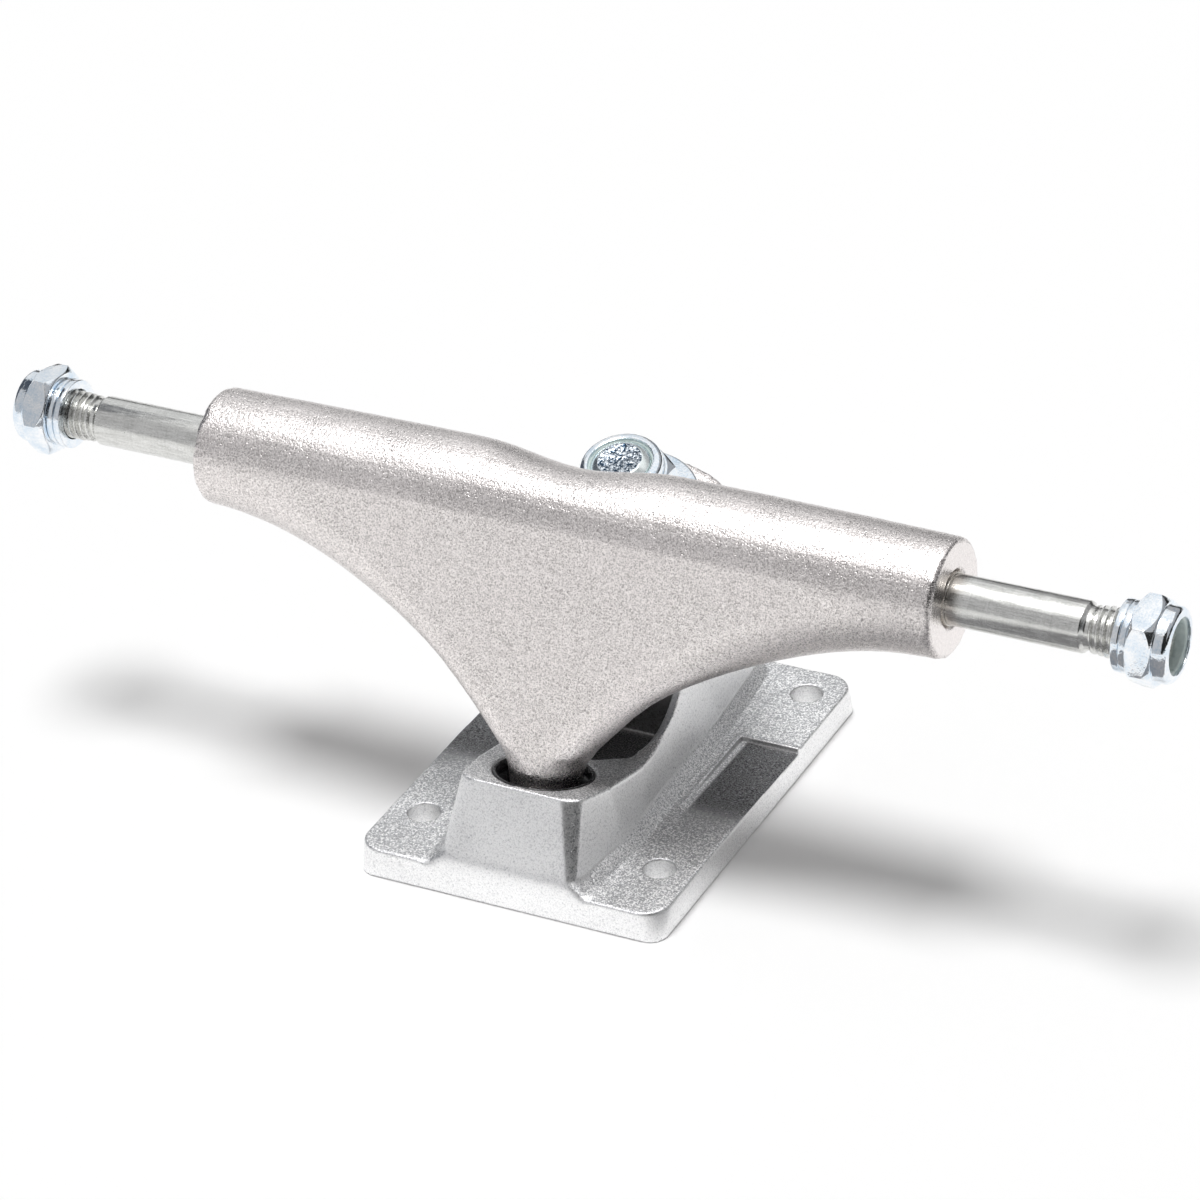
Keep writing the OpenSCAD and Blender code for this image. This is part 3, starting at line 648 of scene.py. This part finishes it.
# %% [markdown]
# ## Turned pieces
# Most other pieces were made on a lathe or a press, so each is an outline swept round a line. The outline is
# a face whose corners are bevelled, which gives every edge its small radius. Its inner part is then deleted
# and its border is spun. Each piece stands on the line of its CAD node, and takes its length and its
# radius from that node, so it can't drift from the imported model.

# %% Measure a node
class Span:
    """How far a CAD node reaches along a line and around it, in millimetres."""

    def __init__(self, node, line):
        back = line.inverted()
        points = [back @ v.co / MM for v in frame["nodes"][node].data.vertices]
        self.low = min(p.z for p in points)
        self.high = max(p.z for p in points)
        far = max(points, key=lambda p: p.xy.length)
        self.radius = far.xy.length
        self.bore = min(p.xy.length for p in points)
        self.turn = math.atan2(far.y, far.x)


axle_span = Span("axle", axle_lines["right"])
print("axle's widest radius", round(axle_span.radius, 2), "mm")

# %% Turn an outline
TURN_STEPS = 96
SMALL_ROUND = 0.5
ON_LINE = 0.001 * MM
SAME_PLACE = 0.0005 * MM


def turned(outline, line):
    """A closed shape turned from corners of radius, height and rounding, in millimetres."""
    shape = bmesh.new()
    corners = [shape.verts.new((radius * MM, 0, height * MM)) for radius, height, _ in outline]
    shape.faces.new(corners)
    by_rounding = {}
    for vert, (_, _, rounding) in zip(corners, outline):
        if rounding:
            by_rounding.setdefault(rounding, []).append(vert)
    for rounding, verts in by_rounding.items():
        segments = 3 if rounding < SMALL_ROUND else 8
        bmesh.ops.bevel(shape, geom=verts, offset=rounding * MM, offset_type="OFFSET", segments=segments,
                        profile=0.5, affect="VERTICES", material=-1)
    bmesh.ops.delete(shape, geom=shape.faces[:], context="FACES_ONLY")
    on_line = [e for e in shape.edges if all(v.co.x < ON_LINE for v in e.verts)]
    bmesh.ops.delete(shape, geom=on_line, context="EDGES")
    bmesh.ops.spin(shape, geom=shape.verts[:] + shape.edges[:], cent=(0, 0, 0), axis=(0, 0, 1),
                   angle=2 * math.pi, steps=TURN_STEPS, use_merge=True)
    bmesh.ops.remove_doubles(shape, verts=shape.verts, dist=SAME_PLACE)
    bmesh.ops.recalc_face_normals(shape, faces=shape.faces)
    bmesh.ops.transform(shape, matrix=line, verts=shape.verts)
    return shape


def crisp(piece, degrees):
    """Shades a piece smooth, apart from edges sharper than this."""
    piece.data.shade_smooth()
    piece.data.set_sharp_from_angle(angle=math.radians(degrees))


# %% [markdown]
# ## Hexagons
# A nut is a turned shape that lost its sides to six flats. In the workshop it is the other way round: a
# hexagonal bar is turned, which leaves the curved chamfers at its corners. So the turned shape, with collar,
# bore and seat for the insert, is cut by a hexagonal prism, and a bevel softens the edges that this makes.

# %% Cut a turned shape to a hexagon
PAST_ENDS = 80 * MM
CUT_EDGE = math.radians(32)
CUT_EDGE_WIDTH = 0.22 * MM
CUT_EDGE_SEGMENTS = 3
HEX_SHARP = 28


def hexed(outline, line, span, name, body, node):
    """A turned zinc shape cut to a hexagon as wide and as turned as the CAD node."""
    piece = finished(turned(outline, line), name, "zinc_plated_steel", body, node)
    prism = bmesh.new()
    bmesh.ops.create_cone(prism, cap_ends=True, segments=6, radius1=span.radius * MM,
                          radius2=span.radius * MM, depth=4 * span.high * MM + PAST_ENDS)
    corner = max(prism.verts, key=lambda v: v.co.x).co
    turn = Matrix.Rotation(span.turn - math.atan2(corner.y, corner.x), 4, "Z")
    bmesh.ops.transform(prism, matrix=line @ turn, verts=prism.verts)
    prism_mesh = bpy.data.meshes.new(name + "_prism")
    prism.to_mesh(prism_mesh)
    prism.free()
    cutter = bpy.data.objects.new(name + "_prism", prism_mesh)
    bpy.context.scene.collection.objects.link(cutter)
    cut = piece.modifiers.new("hexagon", "BOOLEAN")
    cut.operation = "INTERSECT"
    cut.solver = "EXACT"
    cut.object = cutter
    soften = piece.modifiers.new("edges", "BEVEL")
    soften.limit_method = "ANGLE"
    soften.angle_limit = CUT_EDGE
    soften.width = CUT_EDGE_WIDTH
    soften.segments = CUT_EDGE_SEGMENTS
    apply_modifiers(piece)
    bpy.data.objects.remove(cutter)
    crisp(piece, HEX_SHARP)
    return piece


# %% Lock nuts
NUT_COLLAR = 2.3
NUT_COLLAR_ROUND = 1.1
NUT_BORE_CHAMFER = 0.45
NUT_LOW_CHAMFER = 1.2
NUT_TOP_CHAMFER = 1.3
INSERT_LIP = 0.5
INSERT_PLAY = 0.02
INSERT_ROUND = 0.35
RING_SHARP = 60


def lock_nut(node, insert_node, line, body):
    """A lock nut with a chamfered hexagon, a rounded collar and a seat for its nylon ring."""
    nut = Span(node, line)
    ring = Span(insert_node, line)
    flat = nut.radius * math.cos(math.radians(30))
    beyond = nut.radius + 0.1
    hex_top = nut.high - NUT_COLLAR
    collar = ring.radius + 1
    seat = ring.radius + INSERT_PLAY
    hexed([
        (nut.bore + NUT_BORE_CHAMFER, nut.low, 0),
        (flat - 0.1, nut.low, 0.2),
        (beyond, nut.low + NUT_LOW_CHAMFER, 0),
        (beyond, hex_top - NUT_TOP_CHAMFER, 0),
        (flat - 0.1, hex_top, 0.1),
        (collar, hex_top, 0.15),
        (collar, nut.high, NUT_COLLAR_ROUND),
        (ring.radius - INSERT_LIP, nut.high, 0.15),
        (ring.radius - INSERT_LIP, nut.high - INSERT_LIP, 0),
        (seat, nut.high - INSERT_LIP, 0),
        (seat, ring.low - INSERT_PLAY, 0),
        (nut.bore, ring.low - INSERT_PLAY, 0),
        (nut.bore, nut.low + NUT_BORE_CHAMFER, 0),
    ], line, nut, node + "_zinc", body, node)
    insert = turned([
        (ring.bore, ring.low, 0),
        (ring.radius, ring.low, 0),
        (ring.radius, ring.high, 0),
        (ring.bore, ring.high, INSERT_ROUND),
    ], line)
    crisp(finished(insert, insert_node + "_ring", "pale_nylon", body, insert_node), RING_SHARP)
    print(node, round(2 * flat, 2), "mm across the flats,", round(nut.high - nut.low, 2), "mm high")


lock_nut("kingpin_nut", "kingpin_nut_insert", kingpin_line, "kingpin_nut")
for side in ("left", "right"):
    lock_nut(side + "_axle_nut", side + "_nut_insert", axle_lines[side], side + "_nut")

# %% [markdown]
# ## The kingpin
# The kingpin is a bolt whose hexagonal head sits in the baseplate's pocket. Only its end shows, ringed by the
# nut's nylon: a rolled disc, rougher than the nut, that glitters from dent to dent. The plain zinc finish
# would make it a mirror. So it has a finish of its own, and a slight dish where the thread rolling left its
# middle lower.

# %% The kingpin's finish
KINGPIN_R = 4.765
KINGPIN_CHAMFER = 1.15


def rough_zinc_finish(middle, along, radius):
    """Zinc over the kingpin's sawn and rolled end, which sparkles from dent to dent inside its chamfer."""
    zinc = Finish("rough_zinc")
    off = zinc.vector("SUBTRACT", zinc.place, middle)
    distance = zinc.vector("LENGTH", zinc.vector("CROSS_PRODUCT", off, along), out="Value")
    rough = 1 - distance.band(radius - 0.2 * MM, radius + 0.1 * MM)
    dents = zinc.grain(0.36 * MM, 1.5, roughness=0.7)
    lumps = zinc.grain(1.0 * MM, 1.0, shift=6.0)
    tone = (0.3 + 3.2 * dents + 1.6 * lumps).clamp()
    sparkling = zinc.mix(tone, (0.02, 0.045, 0.08), (0.88, 0.94, 1.0))
    return zinc.paint(
        Base_Color=zinc.mix(rough, (0.86, 0.92, 0.92), sparkling),
        Metallic=1.0,
        Roughness=(0.25 + 0.3 * dents).clamp(),
        Normal=zinc.bump((0.08 * dents + 0.14 * lumps) * rough),
    )


disc_r = KINGPIN_R - KINGPIN_CHAMFER
kingpin_finish = rough_zinc_finish(kingpin_line.translation, kingpin_way, disc_r * MM)
print("kingpin's end disc", round(2 * disc_r, 2), "mm across")

# %% Kingpin
KINGPIN_HEAD = 5.6
KINGPIN_TIP = 0.9
HEAD_CHAMFER = (1.5, 0.8)
DISH_R = 3.0
DISH_DEPTH = 0.3
pin = Span("kingpin", kingpin_line)
head_r = pin.radius + 0.1
kingpin = hexed([
    (0, pin.low, 0),
    (head_r - HEAD_CHAMFER[0], pin.low, 0),
    (head_r, pin.low + HEAD_CHAMFER[1], 0),
    (head_r, pin.low + KINGPIN_HEAD, 0),
    (KINGPIN_R, pin.low + KINGPIN_HEAD, 0),
    (KINGPIN_R, pin.high - KINGPIN_TIP, 0.1),
    (disc_r, pin.high, 0.2),
    (DISH_R, pin.high - 0.05, 0.3),
    (0, pin.high - DISH_DEPTH, 0),
], kingpin_line, pin, "kingpin_bolt", "baseplate", "kingpin")
dress(kingpin, kingpin_finish)
print("kingpin length", round(pin.high - pin.low, 1), "mm")

# %% [markdown]
# ## Washers
# The cup washers are pressed dishes whose lips turn up round the bushings. The speed washers are stamped
# rings, so one edge is rounded by the punch and both faces are flat. All are thin, and light shows mostly
# on their rims, so a rounded rim matters more than anything else.

# %% Cup washers
CUP_WASHER = 1.3
LIP_WIDTH = 0.7
LIP_FOOT = 1.0
WASHER_SHARP = 50


def cup_washer(node, bushing_side):
    """A dish with its lip towards the bushing. bushing_side is 1 where that is up the kingpin, else -1."""
    dish = Span(node, kingpin_line)
    back, lip = (dish.low, dish.high) if bushing_side > 0 else (dish.high, dish.low)
    floor = back + bushing_side * CUP_WASHER
    pressed = turned([
        (dish.bore, back, 0.15),
        (dish.radius, back, 0.6),
        (dish.radius, lip, 0.3),
        (dish.radius - LIP_WIDTH, lip, 0.25),
        (dish.radius - LIP_FOOT, floor, 0),
        (dish.bore, floor, 0.15),
    ], kingpin_line)
    crisp(finished(pressed, node + "_dish", "zinc_plated_steel", "baseplate", node), WASHER_SHARP)
    print(node, "diameter", round(2 * dish.radius, 1), "mm")


cup_washer("bottom_cup_washer", 1)
cup_washer("top_cup_washer", -1)

# %% Speed washers
for side in ("left", "right"):
    for layer in ("inner", "outer"):
        node = side + "_" + layer + "_speed_washer"
        ring = Span(node, axle_lines[side])
        stamped = turned([
            (ring.bore, ring.low, 0.15),
            (ring.radius, ring.low, 0.15),
            (ring.radius, ring.high, 0.3),
            (ring.bore, ring.high, 0.15),
        ], axle_lines[side])
        washer = finished(stamped, node + "_ring", "zinc_plated_steel", side + "_washers", node)
        crisp(washer, WASHER_SHARP)
print("speed washers", round(ring.high - ring.low, 2), "mm thick")

# %% [markdown]
# ## Bushings and pivot cup
# The bushings squeeze and lean when the truck steers, which no rigid piece can do. Each is only turned with
# rounded ends. The pivot cup stays still. It is a glossy cup with a thin lip, a groove below the mouth and a
# round seat for the ball.

# %% Bushings
BARREL_CHAMFER = 1.5
CONE_FOOT = 0.8
CONE_WALL = 2.2
CONE_TOP = 1.4
CONE_SHOULDER_R = 9.6
CONE_TOP_R = 9.0
MOULDED_SHARP = 60


def along_kingpin(height):
    """Place on the kingpin's line, at a height in millimetres above its seat."""
    return kingpin_line @ Vector((0, 0, height * MM))


low_one = Span("bottom_bushing", kingpin_line)
barrel_bushing = finished(turned([
    (low_one.bore, low_one.low, 0.3),
    (low_one.radius - BARREL_CHAMFER, low_one.low, 0.5),
    (low_one.radius, low_one.low + BARREL_CHAMFER, 0.5),
    (low_one.radius, low_one.high - BARREL_CHAMFER, 0.5),
    (low_one.radius - BARREL_CHAMFER, low_one.high, 0.5),
    (low_one.bore, low_one.high, 0.3),
], kingpin_line), "barrel_bushing", "black_urethane", None, "bottom_bushing")
crisp(barrel_bushing, MOULDED_SHARP)
along_kingpin(low_one.low + 1)
along_kingpin(low_one.high - 1)
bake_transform(barrel_bushing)
print("bottom bushing", round(low_one.high - low_one.low, 1), "mm high")

high_one = Span("top_bushing", kingpin_line)
cone_bushing = finished(turned([
    (high_one.bore, high_one.low, 0.3),
    (high_one.radius - CONE_FOOT, high_one.low, 0.3),
    (high_one.radius, high_one.low + CONE_FOOT, 0.3),
    (high_one.radius, high_one.low + CONE_WALL, 0.5),
    (CONE_SHOULDER_R, high_one.high - CONE_TOP, 0.5),
    (CONE_TOP_R, high_one.high, 0.3),
    (high_one.bore, high_one.high, 0.3),
], kingpin_line), "cone_bushing", "black_urethane", None, "top_bushing")
crisp(cone_bushing, MOULDED_SHARP)
along_kingpin(high_one.low + 1)
along_kingpin(high_one.high - 1)
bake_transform(cone_bushing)
print("top bushing", round(high_one.high - high_one.low, 1), "mm high")

# %% Pivot cup
cup = Span("pivot_cup", cup_line)
CUP_EDGE = 1
CUP_LIP = 0.5
GROOVE_R = 7.3
BALL_SEAT = 5.06
moulding = turned([
    (0, cup.low, 0),
    (cup.radius - CUP_EDGE, cup.low, 0.3),
    (cup.radius, cup.low + CUP_EDGE, 0.3),
    (cup.radius, cup.high, 0.22),
    (cup.radius - CUP_LIP, cup.high, 0.16),
    (7.08, 4.5, 0),
    (GROOVE_R, 4.35, 0.1),
    (GROOVE_R, 3.95, 0.1),
    (6.8, 3.85, 0),
    (BALL_SEAT, 0, 0),
    (BALL_SEAT, -BALL_SEAT, 5.0),
    (0, -BALL_SEAT, 0),
], cup_line)
cup_piece = finished(moulding, "pivot_cup_moulding", "black_urethane", "baseplate", "pivot_cup")
crisp(cup_piece, MOULDED_SHARP)
print("pivot cup mouth", round(cup.high, 1), "mm above the ball's middle")

# %% [markdown]
# ## The axle
# One steel bar runs through the hanger. It is knurled inside the casting, ground where the bearings sit, a
# little thinner where the thread starts, and threaded at both ends. A thread could be painted as bump, but
# its edge against white paper would stay straight. Here a small trapezium is spun along a helix, with a step
# along the axle between the turns, and its two ends run out into the core.

# %% Bar
AXLE_HALF = (AXLE_HIGH.x - AXLE_LOW.x) / 2 / MM
JOURNAL_R = mounts["axle_right"]["dims"]["r_mm"]
NECK_R = JOURNAL_R - 0.25
CREST_R = JOURNAL_R - 0.09
CORE_R = 3.25
THREAD = 9.6
NECK = 2.7
NECK_START = AXLE_HALF - THREAD - NECK
TIP_CHAMFER = 0.9
CENTRE_R = 1.2
GRIP_END = 63.0
half_bar = [
    (axle_span.radius, GRIP_END, 0.05),
    (JOURNAL_R, GRIP_END, 0),
    (JOURNAL_R, NECK_START - 0.3, 0.15),
    (CORE_R + 0.1, NECK_START + 0.25, 0.15),
    (CORE_R, AXLE_HALF - THREAD, 0),
    (CORE_R, AXLE_HALF - 0.55, 0.1),
    (CREST_R - TIP_CHAMFER, AXLE_HALF, 0.1),
    (CENTRE_R, AXLE_HALF, 0.1),
    (0, AXLE_HALF - CENTRE_R, 0),
]
bar = turned([(r, -z, b) for r, z, b in reversed(half_bar)] + half_bar, axle_lines["right"])
print("bar", 2 * round(AXLE_HALF, 1), "mm long")

# %% A thread's ridge
PITCH = 1.058
HELIX_STEPS = 48
RIDGE_START = NECK_START + 0.5
RIDGE_LENGTH = THREAD + NECK - 1.05
ROOT_R = CORE_R - 0.1
ROOT_HALF = 0.47
CREST_HALF = 0.09


def thread_ridge(line):
    """A closed right-handed ridge from the neck to the chamfered end."""
    turns = RIDGE_LENGTH / PITCH
    steps = round(turns * HELIX_STEPS)
    ridge = bmesh.new()
    section = [(ROOT_R, -ROOT_HALF), (CREST_R, -CREST_HALF), (CREST_R, CREST_HALF), (ROOT_R, ROOT_HALF)]
    verts = [ridge.verts.new((r * MM, 0, (RIDGE_START + z) * MM)) for r, z in section]
    bmesh.ops.spin(ridge, geom=[ridge.faces.new(verts)], cent=(0, 0, 0), axis=(0, 0, 1),
                   angle=2 * math.pi * turns, dvec=(0, 0, PITCH * turns / steps * MM), steps=steps)
    for v in ridge.verts:
        z = v.co.z / MM
        radius = v.co.xy.length / MM
        run_in = min(1, max(0, (z - RIDGE_START) / PITCH + 0.3))
        run_on = min(1, max(0, (z - RIDGE_START - NECK) / PITCH + 1))
        crest = NECK_R + (CREST_R - NECK_R) * run_on
        cone = CREST_R - TIP_CHAMFER + (AXLE_HALF - z)
        most = min(ROOT_R + (crest - ROOT_R) * run_in, cone)
        if radius > most:
            v.co.xy *= most / radius
    bmesh.ops.recalc_face_normals(ridge, faces=ridge.faces)
    bmesh.ops.transform(ridge, matrix=line, verts=ridge.verts)
    print("thread ridge", round(turns, 1), "turns")
    return ridge


# %% Axle
AXLE_SHARP = 32
for side in ("left", "right"):
    ridge = thread_ridge(axle_lines[side])
    ridge_mesh = bpy.data.meshes.new("thread_" + side)
    ridge.to_mesh(ridge_mesh)
    ridge.free()
    bar.from_mesh(ridge_mesh)
    bpy.data.meshes.remove(ridge_mesh)
axle = finished(bar, "axle_bar", "axle_steel", "hanger", "axle")
crisp(axle, AXLE_SHARP)
print("axle", len(axle.data.polygons), "faces")

# %% [markdown]
# ## The studio's light
# The truck stands on white paper under one soft lamp. The lamp hangs overhead and looks about 21 degrees wide
# from the truck, which is read off its shadow: a dark core straight below the hanger, with blurred edges.
# An area lamp would light the paper unevenly, so a sun lamp gives that softness over the whole floor. The
# world fills in from all round, at a third of the light, and looks white where it is seen or mirrored.

# %% Lamp and world
LAMP_WIDTH = math.radians(21)
LAMP_LEAN = Vector((-0.06, -0.05, 1))
LAMP_SHARE = 0.66
SKY_SHARE = 0.34
WHITE = (1, 1, 1)

lamp_data = bpy.data.lights.new("overhead_lamp", "SUN")
lamp_data.angle = LAMP_WIDTH
lamp_data.energy = math.pi * LAMP_SHARE
lamp = bpy.data.objects.new("overhead_lamp", lamp_data)
lamp.rotation_euler = LAMP_LEAN.to_track_quat("Z", "Y").to_euler()
bpy.context.scene.collection.objects.link(lamp)

world = bpy.data.worlds.new("studio")
bpy.context.scene.world = world
world.use_nodes = True
sky = world.node_tree
rays = sky.nodes.new("ShaderNodeLightPath")
seen = rays.outputs["Is Camera Ray"]
for kind in ("Is Glossy Ray", "Is Transmission Ray"):
    either = sky.nodes.new("ShaderNodeMath")
    either.operation = "MAXIMUM"
    sky.links.new(seen, either.inputs[0])
    sky.links.new(rays.outputs[kind], either.inputs[1])
    seen = either.outputs[0]
level = sky.nodes.new("ShaderNodeMapRange")
level.inputs["To Min"].default_value = SKY_SHARE
sky.links.new(seen, level.inputs["Value"])
sky.links.new(level.outputs[0], sky.nodes["Background"].inputs["Strength"])
sky.nodes["Background"].inputs["Color"].default_value = (*WHITE, 1)
print("lamp", LAMP_SHARE, "and sky", SKY_SHARE, "of the light")

# %% Paper
PAPER_HALF = 3.0
PAPER_GAP = 0.05 * MM
PAPER_TONE = (0.8, 0.8, 0.8)


def stage_piece(shape, name, finish):
    """A piece of the studio, which isn't part of the truck."""
    mesh = bpy.data.meshes.new(name)
    shape.to_mesh(mesh)
    shape.free()
    mesh.materials.append(finish.material)
    piece = bpy.data.objects.new(name, mesh)
    bpy.context.scene.collection.objects.link(piece)
    return piece


paper_finish = Finish("white_paper")
camera_ray = paper_finish.node("ShaderNodeLightPath", {}, {}, "Is Camera Ray")
glossy_ray = paper_finish.node("ShaderNodeLightPath", {}, {}, "Is Glossy Ray")
in_view = (camera_ray + glossy_ray).clamp()
paper_finish.paint(
    Base_Color=paper_finish.mix(in_view, PAPER_TONE, WHITE),
    Roughness=1.0,
    Specular_IOR_Level=0.0,
)
paper_shape = bmesh.new()
bmesh.ops.create_grid(paper_shape, x_segments=1, y_segments=1, size=PAPER_HALF)
bmesh.ops.translate(paper_shape, verts=paper_shape.verts, vec=(0, 0, -PAPER_GAP))
stage_piece(paper_shape, "white_paper", paper_finish)
print("paper", 2 * PAPER_HALF, "m wide")

# %% [markdown]
# ## What the metal mirrors
# White everywhere would turn bright metal into flat white. So, as in a real studio, grey and black boards
# stand round the truck, all seen by reflections alone. One dark card lies beside it, also seen in reflections
# alone: it is painted shade on the paper there. Only the opening above, round the lamp, stays white: it draws
# the bright band along the barrel. The dark board at the front right blackens the nuts' facets, and the card,
# as painted shade, keeps the edges above it from glaring.

# %% Helpers for boards and cards
BOARD_RADIUS = 2.5
CARD_HEIGHT = 0.02 * MM


def only_reflected(shape, name, grey):
    """A stage piece of one tone that no light changes, which shows in reflections alone."""
    tone = Finish(name)
    tone.paint(Base_Color=(0, 0, 0, 1), Roughness=1.0, Specular_IOR_Level=0.0)
    tone.paint(Emission_Color=(*grey, 1), Emission_Strength=1.0)
    piece = stage_piece(shape, name, tone)
    piece.visible_camera = False
    piece.visible_diffuse = False
    piece.visible_shadow = False
    piece.visible_transmission = False


def card(name, low, high, grey):
    """A flat card on the table between two corners, in millimetres."""
    shape = bmesh.new()
    corners = [(low[0], low[1]), (high[0], low[1]), (high[0], high[1]), (low[0], high[1])]
    shape.faces.new([shape.verts.new((x * MM, y * MM, CARD_HEIGHT)) for x, y in corners])
    only_reflected(shape, name, grey)


def board(name, azimuths, elevations, grey):
    """A curved board round the truck, between two azimuths and two elevations in degrees."""
    low, high = (math.radians(e) for e in elevations)
    left, right = (math.radians(a) for a in azimuths)
    shape = bmesh.new()
    bmesh.ops.create_grid(shape, x_segments=24, y_segments=8, size=0.5)
    for v in shape.verts:
        azimuth = left + (right - left) * (v.co.x + 0.5)
        elevation = low + (high - low) * (v.co.y + 0.5)
        v.co = BOARD_RADIUS * direction(azimuth, elevation)
    only_reflected(shape, name, grey)


# %% Boards and card
GREY = (0.43, 0.43, 0.44)
BLACK = (0.02, 0.02, 0.02)
board("grey_board_front", (-75, 8), (0.5, 56), (0.53, 0.53, 0.54))
board("black_board_front_right", (8, 70), (0.5, 58), BLACK)
board("black_board_right", (70, 110), (0.5, 22), BLACK)
board("grey_board_right", (70, 110), (22, 62), GREY)
board("black_board_back", (110, 200), (0.5, 16), BLACK)
board("grey_board_back", (110, 200), (16, 40), (0.38, 0.38, 0.39))
board("black_board_left", (200, 240), (0.5, 12), BLACK)
board("pale_board_left", (200, 240), (12, 56), (0.8, 0.81, 0.82))
board("dark_board_left", (240, 285), (0.5, 56), (0.08, 0.09, 0.11))
# The card is painted shade on the paper beside the truck, seen only in reflections.
card("painted_shade_card_right", (32, -220), (260, -24), (0.28, 0.28, 0.29))
print("boards round the truck at", BOARD_RADIUS, "m")

# %% [markdown]
# ## Close the frame
# The view transform is Standard, so a colour renders about as it is written.

# %% Finish
bpy.context.scene.view_settings.view_transform = "Standard"
